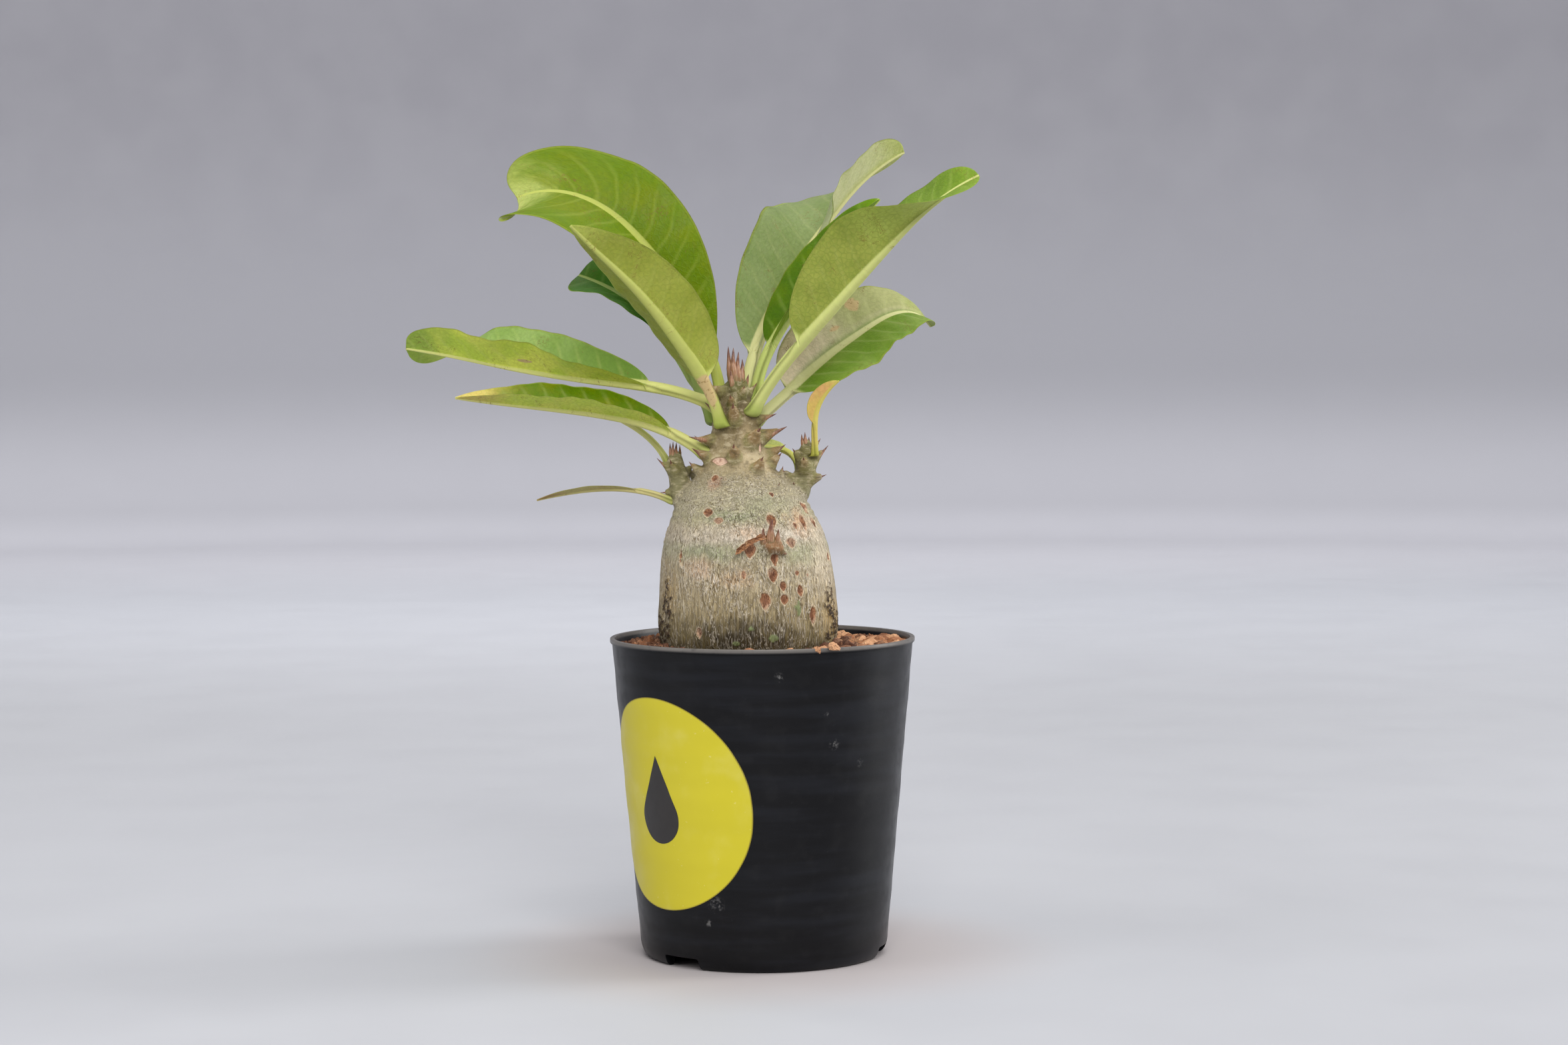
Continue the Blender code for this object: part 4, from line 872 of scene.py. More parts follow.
# Spines on the crown, the shoots and the stub: root, tip, radius of the knob, radius of the spine
CROWN_SPINES = (
    ((-8.3, -0.8, 168.0), (-9.5, -1.4, 179.6), 1.7, 1.4),
    ((-7.5, -1.6, 168.0), (-8.0, -2.4, 179.2), 1.7, 1.5),
    ((-6.6, -1.2, 168.0), (-6.5, -1.8, 178.0), 1.6, 1.4),
    ((-6.0, 0.2, 168.0), (-5.4, 0.4, 175.8), 1.5, 1.3),
    ((-5.2, -1.8, 166.4), (-3.6, -3.0, 171.4), 1.6, 1.1),
    ((-8.0, -2.6, 166.6), (-8.8, -4.6, 172.6), 1.5, 1.1),
)
SHOOT_SPINES = (
    ((12.8, 1.4, 148.8), (11.9, 0.8, 153.6), 1.4, 0.95),
    ((13.5, 1.0, 149.2), (12.9, 0.6, 154.2), 1.4, 1.0),
    ((14.3, 1.6, 148.8), (14.1, 1.2, 152.8), 1.3, 0.9), ((12.6, 2.6, 145.4), (9.2, 1.2, 149.4), 2.3, 1.0),
    ((13.0, 1.4, 143.6), (12.4, -2.8, 147.0), 2.4, 1.0),
    ((14.6, 4.2, 148.2), (17.6, 5.6, 152.2), 1.7, 0.8),
    ((13.8, 2.8, 144.4), (19.8, 2.2, 150.2), 2.5, 1.0),
    ((12.6, 2.6, 139.6), (19.2, 1.4, 141.6), 2.6, 1.0),
    ((12.4, 4.4, 140.4), (15.0, 8.8, 143.4), 1.9, 0.8),
    ((10.4, 1.4, 137.2), (9.4, -3.2, 139.6), 2.1, 0.9), ((9.6, 2.0, 139.4), (5.9, -0.4, 143.6), 2.2, 0.9),
    ((-26.4, 1.8, 145.8), (-26.9, 1.4, 151.2), 1.3, 0.8),
    ((-25.8, 1.4, 146.0), (-26.0, 1.0, 151.6), 1.3, 0.8),
    ((-25.0, 1.6, 146.0), (-25.0, 1.4, 151.4), 1.3, 0.8),
    ((-24.3, 2.4, 145.6), (-24.1, 2.4, 150.6), 1.3, 0.8),
    ((-25.0, 1.8, 141.8), (-30.8, 0.6, 146.8), 2.3, 0.9),
    ((-25.0, 1.4, 142.0), (-26.9, -3.0, 146.6), 2.2, 0.9),
    ((-23.6, 2.2, 137.0), (-29.8, 1.4, 136.6), 2.3, 0.9),
    ((-23.2, 2.8, 141.0), (-20.4, 4.6, 145.0), 2.0, 0.8),
    ((-24.4, 3.6, 139.4), (-26.4, 8.4, 142.0), 1.8, 0.8),
)
STUB_SPINES = (
    ((2.6, -23.0, 122.0), (3.0, -26.0, 130.0), 1.9, 1.7),
    ((0.8, -22.8, 121.6), (0.4, -25.4, 127.4), 1.7, 1.4),
    ((4.5, -22.6, 121.6), (4.9, -25.0, 127.0), 1.7, 1.3),
    ((4.8, -22.0, 120.2), (7.4, -24.0, 119.8), 1.4, 0.7),
    ((0.4, -22.0, 120.0), (-2.0, -24.0, 119.6), 1.4, 0.7),
)
# Scars: compass, height, width, height of the scar, depth
SCARS = (
    (240.6, 131.4, 3.0, 2.6, 0.5), (250, 129.2, 3.0, 1.9, 0.35), (336.3, 132.1, 3.4, 3.6, 0.4),
    (321.7, 128.1, 2.8, 5.0, 0.5), (337.8, 127.8, 2.6, 3.6, 0.4), (311.2, 127.5, 1.4, 2.2, 0.2),
    (303.1, 122.8, 3.3, 3.0, 0.4), (220.3, 118.5, 1.3, 4.4, 0.7), (272.6, 121, 4.0, 5.0, 0.3),
    (292, 129, 3.0, 4.0, 0.4), (289, 118.4, 2.4, 4.6, 0.35), (287, 113.7, 3.0, 4.6, 0.45),
    (267.7, 113.8, 1.6, 2.6, 0.2), (304, 114, 1.5, 1.6, 0.2), (312.7, 113.3, 1.1, 1.2, 0.2),
    (293.1, 110.4, 2.2, 3.0, 0.4), (305.2, 108.8, 2.1, 3.6, 0.4), (280.9, 106.1, 3.4, 5.2, 0.4),
    (293.4, 106.5, 2.7, 3.2, 0.45), (314.3, 101.5, 2.6, 5.8, 0.6), (344.2, 117.7, 2.4, 3.2, 0.3),
    (237.3, 96.9, 2.2, 3.2, 0.5), (237.6, 141.1, 2.4, 2.2, 0.25), (300.5, 136.5, 1.5, 1.5, 0.2),
    (20, 126, 3.0, 4.0, 0.4), (52, 112, 2.6, 4.2, 0.4), (75, 129, 3.2, 3.0, 0.4),
    (98, 105, 2.4, 3.6, 0.4), (121, 120, 2.8, 4.6, 0.4), (143, 133, 2.6, 2.4, 0.35),
    (160, 109, 2.2, 3.4, 0.4), (183, 124, 2.6, 3.8, 0.4),
)
# Smooth pale scars of fallen leaves on the neck: compass, height, width, height of the scar
LEAF_SCARS = (
    (240.7, 145.9, 5.4, 2.4), (322, 150.2, 3.0, 3.4), (30, 147, 4.6, 2.6), (95, 151, 4.2, 2.6),
    (150, 144, 5, 2.6),
)
# Colour of the ridges by height; the darker tones at the foot, by the soil, are painted shade.
BARK_TONES = (
    (90, 0x52452A), (96, 0x786A44), (103, 0x968662), (111, 0xA89878), (117, 0xAC9E80), (121, 0xA49E7E),
    (124, 0xB6A994), (127, 0xB8AA90), (130, 0xA8A07E), (135, 0xAEA486), (140, 0xAA9E7E), (144, 0x988864),
    (150, 0x8A7A56), (157, 0x74643F), (162, 0x5E4E2E), (168, 0x5C5826),
)
# Patches in the bark: compass, height, spread in degrees and in height, colour, strength. Most are the bark's
# own tints; the pale one at compass 334 is painted light on the lit right side, the dark ones at the foot
# (compass
# 268 and 90) are painted shade, and on the neck the pale ones at compass 304 and 300 are partly painted
# highlight and the dark one at compass 262 is painted shade.
BARK_PATCHES_AND_PAINTED_LIGHT = (
    (262, 130.5, 24, 2.0, 0x8A8E6C, 0.7), (290, 134.5, 26, 2.8, 0x939470, 0.5),
    (292, 125, 44, 2.2, 0xD2C8B8, 0.5), (272, 126, 11, 1.9, 0xCBAE90, 0.7),
    (243, 119.8, 22, 2.8, 0x8C9070, 0.7), (318, 119, 20, 3, 0x9A9C76, 0.6),
    (237, 115.5, 12, 3.4, 0xC0A084, 0.7), (262, 112.5, 12, 2.6, 0xBC9E7C, 0.7),
    (318, 128, 15, 3.6, 0xC8A07C, 0.8), (268, 95, 36, 6, 0x30260F, 0.9),
    (334, 118, 16, 12, 0xD2C2A6, 0.7), (203, 108, 14, 8, 0xAA9060, 0.7), (338, 100, 18, 8, 0xB2965E, 0.7),
    (304, 147, 30, 5, 0xC8B692, 0.6), (262, 153, 26, 4, 0x6A5A38, 0.5), (300, 155, 20, 3, 0xA08C66, 0.5),
    (240, 140, 10, 2, 0xBE947A, 0.7), (60, 124, 20, 6, 0xC0947A, 0.7), (140, 113, 15, 5, 0xBC9E7C, 0.7),
    (100, 119.5, 60, 2.6, 0x868F68, 0.6), (90, 125, 60, 2.4, 0xD2C8B8, 0.5),
    (90, 97, 60, 6, 0x5E5034, 0.7),
)
# Dark soil stuck to the bark, then moss: compass, height, spread in degrees and in height
SOILED = (
    (333, 104, 8, 7), (205, 102, 9, 9), (340, 97, 14, 5), (196, 96, 14, 6), (110, 99, 25, 6),
    (40, 97, 22, 5),
)
MOSSY = (
    (302.6, 103.9, 2.4, 2.1), (271.5, 98.4, 2.0, 1.0), (285, 95.4, 3.2, 1.2), (262, 94.2, 3.0, 0.8),
    (70, 98, 3, 1.4),
)
SPINE_BROADTH = 0.48  # of the trunk's spines, as a share of the knob's
FOLD_GAP = 2.5  # between the level folds on the shoulder
# Level folds round the neck: height, depth, width
NECK_FOLDS = ((139.8, 0.28, 0.5), (143.4, 0.3, 0.6), (149.8, 0.15, 0.5), (155.4, 0.15, 0.5))
NECK_FOOT = 142  # below it, patches don't show on young green bark
FAR = 3.0  # stands for no scar near
ON_SHOOT = 0.4  # scars stay off what is more of a shoot than this
VOXEL = 0.435  # grain of the mesh that the trunk's shells melt into
# Height, and the share of a climb there that counts for noise: low ones draw the ridges out upwards
GRAIN_STRETCH = ((84, 0.13), (100, 0.16), (112, 0.24), (126, 0.36), (132, 0.6), (140, 0.9), (172, 1.0))


def bark_at(height):
    """Middle in x and radius of the bark at a height. The crown is drawn in between the leaf stalks."""
    middle, radius = (smooth_through(TRUNK[:, 0], TRUNK[:, column], height) for column in (1, 2))
    return middle, radius * (1 - 0.1 * ease(height, 162, 168))


def ease(value, low, high):
    part = np.clip((value - low) / (high - low), 0, 1)
    return part * part * (3 - 2 * part)


def bark_swell(angle, height):
    above = np.clip((148 - height) / 20, 0, 1)
    below = np.clip((height - SOIL_LEVEL + 3) / 8, 0, 1)
    folds = np.sin(5 * angle + 0.05 * height) + 0.7 * np.sin(9 * angle - 0.08 * height + 1.3)
    return SWELL_RELIEF * above * below * folds


def tube(stations, sides):
    """Points and faces of a closed round tube through points with a radius each."""
    middles = [Vector(point) for point, _ in stations]
    points, aside = [], None
    for index, (_, radius) in enumerate(stations):
        way = (middles[min(index + 1, len(middles) - 1)] - middles[max(index - 1, 0)]).normalized()
        aside = way.orthogonal() if aside is None else aside - aside.dot(way) * way
        aside.normalize()
        other = way.cross(aside)
        for side in range(sides):
            angle = math.tau * side / sides
            outward = aside * math.cos(angle) + other * math.sin(angle)
            points.append(middles[index] + float(radius) * outward)
    return points, capped(len(stations), sides)


def shoot(rows):
    """Closely spaced stations along a shoot, ending in a rounded top."""
    places = np.linspace(0, 1, len(rows))
    along = np.linspace(0, 1, 20)
    columns = np.array([(*point, radius) for point, radius in rows])
    x, y, z, radius = (smooth_through(places, column, along) for column in columns.T)
    stations = [((a, b, c), d) for a, b, c, d in zip(x, y, z, radius)]
    end, before = Vector(stations[-1][0]), Vector(stations[-2][0])
    way = (end - before).normalized()
    for turn in (0.5, 1.0, 1.45):
        stations.append((end + way * radius[-1] * 0.9 * math.sin(turn), radius[-1] * math.cos(turn)))
    return stations


def spine_ends():
    """Root, tip, and radius of the knob and of the spine itself, of every spine."""
    ends = []
    for height, compass, rise, length, knob in list(TRUNK_SPINES) + back_spines():
        middle, radius = trunk_at(height)
        root = Vector((*on_circle(compass, radius - 0.35 * knob, middle), height))
        outward = Vector((*on_circle(compass, math.cos(math.radians(rise))), math.sin(math.radians(rise))))
        ends.append((root, root + outward * (length + 0.35 * knob), knob, knob * SPINE_BROADTH))
    placed = CROWN_SPINES + SHOOT_SPINES + STUB_SPINES
    return ends + [(Vector(root), Vector(tip), knob, broad) for root, tip, knob, broad in placed]


def back_spines():
    """Spines on the far side, at seeded places that keep apart from each other and from the leaf stalks."""
    draw = random.Random(7)
    placed = []
    while len(placed) < BACK_SPINE_COUNT:
        height, compass = draw.uniform(139, 156), draw.uniform(50, 165)
        place = Vector((*on_circle(compass, trunk_at(height)[1]), height))
        taken = [other for other, _, _ in placed] + [Vector(leaf_base(leaf)[0]) for leaf in LEAVES.values()]
        if all((place - other).length > 4.5 for other in taken):
            placed.append((place, height, compass))
    return [
        (height, compass, draw.uniform(15, 50), draw.uniform(3.0, 6.0), draw.uniform(1.4, 2.1))
        for _, height, compass in placed
    ]


def knob_of(root, tip, size, _):
    """The hollow-sided cone of bark that a spine stands on."""
    way = (tip - root).normalized()
    shape = ((-1.0, 1.25), (0.0, 1.15), (0.5, 0.95), (1.0, 0.72), (1.5, 0.52), (2.0, 0.36), (2.5, 0.24))
    reach = (tip - root).length * 0.8
    return [(root + way * min(size * along, reach + 0.01 * along), size * radius) for along, radius in shape]


def rough_trunk():
    """Trunk, shoots, stub and knobs as overlapping closed shells in one mesh."""
    heights = np.arange(86.0, 168.9, 0.7)
    middles, radii = bark_at(heights)
    rows = list(zip(heights, middles, radii))
    rows += [(169.3, middles[-1], radii[-1] * 0.7), (169.6, middles[-1], 0.5)]
    sides = 150
    angles = np.arange(sides) * math.tau / sides
    points = []
    for height, middle, radius in rows:
        swollen = radius + bark_swell(angles, height)
        points += [(middle + r * math.cos(a), r * math.sin(a), height) for r, a in zip(swollen, angles)]
    shells = [(points, capped(len(rows), sides))]
    shells += [tube(shoot(stations), 28) for stations in SHOOTS]
    shells += [tube(knob_of(*ends), 16) for ends in spine_ends()]
    points, faces = [], []
    for shell_points, shell_faces in shells:
        start = len(points)
        points += [tuple(point) for point in shell_points]
        faces += [tuple(start + corner for corner in face) for face in shell_faces]
    return shaped("caudex_bark", points, faces)


def merged(piece):
    """Melts the shells into one skin."""
    skin = piece.modifiers.new("skin", "REMESH")
    skin.mode, skin.voxel_size, skin.use_smooth_shade = "VOXEL", VOXEL * MM, True
    soften = piece.modifiers.new("soften", "SMOOTH")
    soften.factor, soften.iterations = 0.5, 3
    settle(piece)
    piece.data.shade_smooth()


def from_tube(points, rows):
    """Distance of each point from the surface of a shoot."""
    nearest = np.full(len(points), 1e9)
    for (start, first), (end, last) in zip(rows[:-1], rows[1:]):
        start, end = np.array(start, float), np.array(end, float)
        line = end - start
        part = np.clip((points - start) @ line / (line @ line), 0, 1)
        away = np.linalg.norm(points - start - part[:, None] * line, axis=1) - (first + part * (last - first))
        nearest = np.minimum(nearest, away)
    return nearest


def turbulence(points, size):
    return np.array([noise.noise(Vector(point) / size) for point in points])


def drawn_out(angle, heights, radius):
    """The place at which noise is read: its height is shrunk where the ridges are drawn out."""
    fine = np.arange(84, 172, 0.5)
    slope = np.gradient(bark_at(fine)[1], fine)
    stretch = np.interp(fine, *zip(*GRAIN_STRETCH))
    climb = np.interp(heights, fine, np.cumsum(np.sqrt(1 + slope**2) * stretch) * 0.5)
    round_at = np.clip(radius, 12, 26)
    return np.stack([round_at * np.cos(angle), round_at * np.sin(angle), climb], -1)


def oval(compass, heights, radius, row):
    """Distance from the middle of a mark as a share of its size. Marks narrow to a point below."""
    place, height, wide, tall = row[:4]
    up = (heights - height) / tall * 2
    aside = np.radians((compass - place + 180) % 360 - 180) * radius / wide * 2
    return np.hypot(aside / np.clip(1 + 0.5 * np.minimum(up, 0), 0.4, 1), up)


def patch(compass, heights, row, points, size):
    """A soft patch with a broken edge: 1 inside, 0 outside."""
    place, height, wide, tall = row[:4]
    aside = ((compass - place + 180) % 360 - 180) / wide
    return np.clip(1.35 - np.hypot(aside, (heights - height) / tall) + 0.55 * turbulence(points, size), 0, 1)


def tinted(colours, share, code):
    return colours + np.clip(share, 0, 1)[:, None] * (np.array(paint(code)[:3]) - colours)


def bark_colours(points, compass, heights, out, on_shoot, young):
    """Colour of the ridges at each point: bands by height, darker at the foot as painted shade, patches, some
    of them painted light and shade, green shoots and browner knobs.
    """
    wander = heights + 1.4 * turbulence(points * (1, 1, 0.4), 5.0)
    # The darker tones at the foot are painted shade.
    tones = np.array([paint(code)[:3] for _, code in BARK_TONES])
    levels = [height for height, _ in BARK_TONES]
    colours = np.stack([np.interp(wander, levels, tone) for tone in tones.T], -1)
    # Patches, some of them painted light and painted shade on the trunk's sides, foot and neck.
    for row in BARK_PATCHES_AND_PAINTED_LIGHT:
        shown = row[5] * patch(compass, heights, row, points, 3.0)
        colours = tinted(colours, shown * (1 - young * (row[1] < NECK_FOOT)), row[4])
    colours = tinted(colours, 0.85 * on_shoot, 0x67633A)
    colours = tinted(colours, 0.7 * young * ease(out, 0.2, 1.4), 0x7A7440)
    colours = tinted(colours, 0.6 * young * ease(out, 1.5, 3.2), 0x886440)
    stub = ease(points[:, 1], -20.4, -21.8) * on_shoot
    colours = tinted(colours, 0.85 * stub, 0x8A5C36)
    return tinted(colours, 0.7 * stub * ease(points[:, 2], 122.0, 120.0), 0x4A3A20)


def points_and_normals(mesh):
    """Points of a mesh in millimetres, and its normals."""
    points, normals = (np.empty(len(mesh.vertices) * 3, np.float32) for _ in range(2))
    mesh.vertices.foreach_get("co", points)
    mesh.vertex_normals.foreach_get("vector", normals)
    return points.reshape(-1, 3).astype(float) / MM, normals.reshape(-1, 3).astype(float)


def fold_relief(points, heights, smooth, on_shoot, out):
    """Level folds: many faint ones on the shoulder and a few deeper ones round the neck."""
    wander = turbulence(points * (1, 1, 0.5), 7.0)
    shoulder = ease(heights, 126, 131) * ease(heights, 144, 140)
    relief = 0.16 * shoulder * smooth * np.sin(math.tau * (heights + 1.6 * wander) / FOLD_GAP)
    for height, depth, width in NECK_FOLDS:
        fold = depth * np.exp(-(((heights + wander - height) / width) ** 2))
        relief -= fold * (1 - on_shoot) * ease(out, 1.0, 0.3)
    return relief


def scar_relief(points, compass, heights, radius, on_shoot):
    """Relief of the scars, then how near each point is to a rough one and to a smooth one."""
    relief, mark, bare = np.zeros(len(points)), np.full(len(points), FAR), np.full(len(points), FAR)
    for row in SCARS:
        ragged = oval(compass, heights, radius, row) + 0.16 * turbulence(points, 1.1)
        away = np.where(on_shoot > ON_SHOOT, FAR, ragged)
        relief += row[4] * (0.7 * np.exp(-(((away - 1.15) / 0.2) ** 2)) - 1.1 * ease(away, 1.0, 0.6))
        mark = np.minimum(mark, away)
    for row in LEAF_SCARS:
        away = np.where(on_shoot > ON_SHOOT, FAR, oval(compass, heights, radius, row))
        relief += 0.35 * np.exp(-(((away - 1.12) / 0.2) ** 2)) - 0.1 * ease(away, 0.95, 0.7)
        bare = np.minimum(bare, away)
    return relief, mark, bare


def stuck_on(points, compass, heights):
    """Where crumbs of soil and moss stick to the bark."""
    soiled, moss = (
        np.maximum.reduce([patch(compass, heights, row, points, size) for row in rows])
        for rows, size in ((SOILED, 2.4), (MOSSY, 1.3))
    )
    crumbs = ease(turbulence(points, 0.9) + 0.9 * turbulence(points + 9, 2.4), 0.05, 0.2)
    return crumbs * ease(soiled, 0.3, 0.5), ease(moss, 0.5, 0.62)


def bark_relief(piece):
    """Displaces the bark and notes at each point what its material needs to know."""
    points, normals = points_and_normals(piece.data)
    heights = np.clip(points[:, 2], 84, 171)
    middle, radius = bark_at(heights)
    angle = np.arctan2(points[:, 1], points[:, 0] - middle)
    compass = np.degrees(angle) % 360
    off_trunk = np.hypot(points[:, 0] - middle, points[:, 1]) - radius
    off_shoots = np.minimum.reduce([from_tube(points, rows) for rows in SHOOTS])
    on_shoot = ease(off_trunk, 0.4, 1.8) * ease(off_shoots, 3.6, 1.6)
    out = np.minimum(off_trunk, np.maximum(off_shoots, 0))
    young = np.maximum(ease(heights, 140.5, 145), on_shoot)
    smooth = (1 - young) * (1 - ease(out, 0.4, 1.2))
    grain = drawn_out(angle, heights, radius)
    ridges = 0.12 * turbulence(grain, 1.7) + 0.07 * turbulence(grain + 40, 0.9)
    relief = smooth * ridges + 0.09 * turbulence(points, 3.0)
    relief += fold_relief(points, heights, smooth, on_shoot, out)
    sunken, mark, bare = scar_relief(points, compass, heights, radius, on_shoot)
    crumbs, moss = stuck_on(points, compass, heights)
    relief += sunken + crumbs * (0.4 + 0.5 * np.abs(turbulence(points, 0.6))) + 0.28 * moss
    colours = bark_colours(points, compass, heights, out, on_shoot, young)
    points += normals * relief[:, None]
    piece.data.vertices.foreach_set("co", (points * MM).astype(np.float32).ravel())
    piece.data.update()
    note(piece, "grain", grain * MM)
    note(piece, "skin", colours)
    note(piece, "marks", np.stack([mark, bare, young], -1))
    note(piece, "crumbs", crumbs)
    note(piece, "moss", moss)


def add_root(piece):
    """The part below the soil: a plain taper whose top is hidden inside the bark."""
    sides = 72
    rows = [row for row in TRUNK if row[0] < 90]
    points = []
    for height, middle, radius in rows:
        points += [(*on_circle(360 * side / sides, radius - 0.2, middle), height) for side in range(sides)]
    root = shaped("caudex_root", points, capped(len(rows), sides))
    note(root, "skin", [paint(0x54462B)[:3]] * len(points))
    note(root, "marks", [(FAR, FAR, 1.0)] * len(points))
    root.data.materials.append(piece.data.materials[0])
    return root


def ridged(tree, grain, height, young):
    """The net of silvery ridges: the colour of the bark with it, its thin lines and its broad ridges."""
    wavy = speckle(tree, grain, 0.85, 2, 0.5, 1.2)
    line = span(tree, calc(tree, "ABSOLUTE", calc(tree, "SUBTRACT", wavy, 0.5)), 0.0, 0.055, 1.0, 0.0)
    ridges = span(tree, speckle(tree, grain, 0.55, 3, 0.6, 0.8), 0.36, 0.58)
    zone = span(tree, speckle(tree, grain, 3.2, 3), 0.35, 0.65, 0.45, 1.0)
    contrast = times(tree, zone, calc(tree, "SUBTRACT", 1.0, times(tree, young, 0.85)))
    shade = blend(tree, ridges, paint(0x8C8268), paint(0xFFFFFF))
    colour = blend(tree, contrast, noted(tree, "skin"), shade, "MULTIPLY")
    crest = times(tree, times(tree, line, contrast), span(tree, height, 0.096, 0.115, 0.55, 0.85))
    return blend(tree, crest, colour, paint(0xDCD0BC)), line, ridges


def wrinkled(tree, colour, wrinkle, young):
    """Painted silvery sheen on the wrinkles of young bark, and painted shadow between them."""
    # Painted sheen on the wrinkles' crests, then painted shadow in the folds.
    painted_sheen = times(tree, young, span(tree, wrinkle, 0.5, 0.68, 0.0, 0.55))
    colour = blend(tree, painted_sheen, colour, paint(0xBCAE8E))
    shadowed = times(tree, young, span(tree, wrinkle, 0.3, 0.48, 0.6, 0.0))
    return blend(tree, shadowed, colour, paint(0x4C4228))


def scarred(tree, colour, place, mark, grit):
    """Rough scars: flaky brown with dark cracks and a darker core, in a pale rim."""
    rim = times(tree, span(tree, mark, 0.92, 1.05), span(tree, mark, 1.08, 1.3, 1.0, 0.0))
    colour = blend(tree, times(tree, rim, 0.5), colour, paint(0xDCC4A4))
    worn = blend(tree, span(tree, grit, 0.35, 0.62), paint(0x7C4C32), paint(0xB2825E))
    flaky = span(tree, speckle(tree, place, 6, 2), 0.5, 0.6, 0.0, 0.7)
    worn = blend(tree, flaky, worn, paint(0xC4A68A))
    crack = speckle(tree, stretched(tree, place, (1, 1, 0.35)), 0.9, 3, 0.6)
    worn = blend(tree, span(tree, crack, 0.52, 0.62, 0.0, 0.65), worn, paint(0x4E2A1A))
    colour = blend(tree, span(tree, mark, 0.86, 1.0, 1.0, 0.0), colour, worn)
    core = times(tree, span(tree, mark, 0.25, 0.75, 0.75, 0.0), span(tree, grit, 0.4, 0.6, 0.3, 1.0))
    return blend(tree, core, colour, paint(0x5A3220))


def healed_over(tree, colour, place, bare):
    """Smooth scars of fallen leaves: pale, speckled, with a dark edge."""
    scab = span(tree, speckle(tree, place, 1.1, 4, 0.6), 0.38, 0.6)
    healed = blend(tree, scab, paint(0xB08C76), paint(0xD2B49C))
    dark = span(tree, speckle(tree, stretched(tree, place, (1, 1, 0.3)), 0.5, 2), 0.62, 0.7)
    healed = blend(tree, dark, healed, paint(0x8A6450))
    colour = blend(tree, span(tree, bare, 0.92, 1.02, 1.0, 0.0), colour, healed)
    edge = times(tree, span(tree, bare, 0.94, 1.0), span(tree, bare, 1.06, 1.2, 1.0, 0.0))
    return blend(tree, times(tree, edge, 0.6), colour, paint(0x6E5234))


def bark_finish():
    """The bark's material, from its ridges outwards to what sticks to them."""
    made, tree, shader = finish_of("bark")
    place = add(tree, "TexCoord", out="Object")
    marks = noted(tree, "marks")
    mark, bare, young = (axis_of(tree, marks, axis) for axis in "XYZ")
    crumbs, moss = noted(tree, "crumbs", "Fac"), noted(tree, "moss", "Fac")
    grit = speckle(tree, place, 0.55, 4, 0.65)
    wrinkle = speckle(tree, stretched(tree, place, (1, 1, 1.9)), 2.6, 4, 0.58, 0.5)
    colour, line, ridges = ridged(tree, noted(tree, "grain"), axis_of(tree, place, "Z"), young)
    colour = wrinkled(tree, colour, wrinkle, young)
    colour = scarred(tree, colour, place, mark, grit)
    colour = healed_over(tree, colour, place, bare)
    earth = blend(tree, span(tree, grit, 0.4, 0.6), paint(0x1E150D), paint(0x4E3A26))
    colour = blend(tree, crumbs, colour, earth)
    mossy = blend(tree, speckle(tree, place, 0.8, 2), paint(0x5E6838), paint(0x8E9868))
    colour = blend(tree, times(tree, moss, 0.9), colour, mossy)
    feed(tree, colour, shader.inputs["Base Color"])
    rough = calc(tree, "ADD", span(tree, ridges, 0.0, 1.0, 0.75, 0.52), times(tree, crumbs, 0.25))
    feed(tree, rough, shader.inputs["Roughness"])
    plain = calc(tree, "SUBTRACT", 1.0, times(tree, young, 0.8))
    relief = times(tree, plain, calc(tree, "ADD", times(tree, ridges, 0.5), times(tree, line, 0.6)))
    relief = calc(tree, "ADD", relief, times(tree, times(tree, young, wrinkle), 0.8))
    relief = calc(tree, "ADD", relief, times(tree, grit, 0.3))
    lift(tree, shader, relief, 0.4, 0.85)
    shader.inputs["Specular IOR Level"].default_value = 0.35
    return made


trunk = rough_trunk()
merged(trunk)
bark_relief(trunk)
trunk.data.materials.append(bark_finish())
root = add_root(trunk)
for piece in (trunk, root):
    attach(piece, "root")
    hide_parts("caudex")

# The spines
# Each grew with the bark as a hard, slightly curved horn on its knob. It is pale green-brown where it leaves
# the knob, reddish in the middle and dry and dark at the point.
SPINE_SIDES = 12
SPINE_RINGS = 14


def horn(root, tip, broad, draw):
    """Stations along one curved horn."""
    way = tip - root
    sag = way.orthogonal().normalized() * way.length * 0.04
    if sag.z > 0:
        sag = -sag
    stations = []
    for ring in range(SPINE_RINGS):
        share = ring / (SPINE_RINGS - 1)
        thick = max(0.05, broad * (1 - share) ** 0.75 * (1 + 0.06 * math.sin(9 * share + 3 * broad)))
        bend = math.sin(math.pi * share) * (1 + draw.uniform(-0.2, 0.2))
        stations.append((root + way * share + sag * bend, thick))
    return stations


draw = random.Random(21)
points, faces, shares = [], [], []
for root_point, tip_point, _, broad in spine_ends():
    horn_points, horn_faces = tube(horn(root_point, tip_point, broad, draw), SPINE_SIDES)
    start = len(points)
    points += [tuple(point) for point in horn_points]
    faces += [tuple(start + corner for corner in face) for face in horn_faces]
    shares += [ring / (SPINE_RINGS - 1) for ring in range(SPINE_RINGS) for _ in range(SPINE_SIDES)]
spines = shaped("caudex_spines", points, faces)
note(spines, "along", shares)
horny, tree, shader = finish_of("spine horn")
place = add(tree, "TexCoord", out="Object")
along = noted(tree, "along", "Fac")
along = calc(tree, "ADD", along, span(tree, speckle(tree, place, 1.5, 3), 0.3, 0.7, -0.12, 0.12))
colour = blend(tree, span(tree, along, 0.15, 0.5), paint(0x7E6A42), paint(0x9A7254))
colour = blend(tree, span(tree, along, 0.5, 0.9), colour, paint(0x542E22))
streak = speckle(tree, stretched(tree, place, (1, 1, 0.2)), 0.35, 3)
colour = blend(tree, span(tree, streak, 0.4, 0.6, 0.35, 0.0), colour, paint(0x74452E))
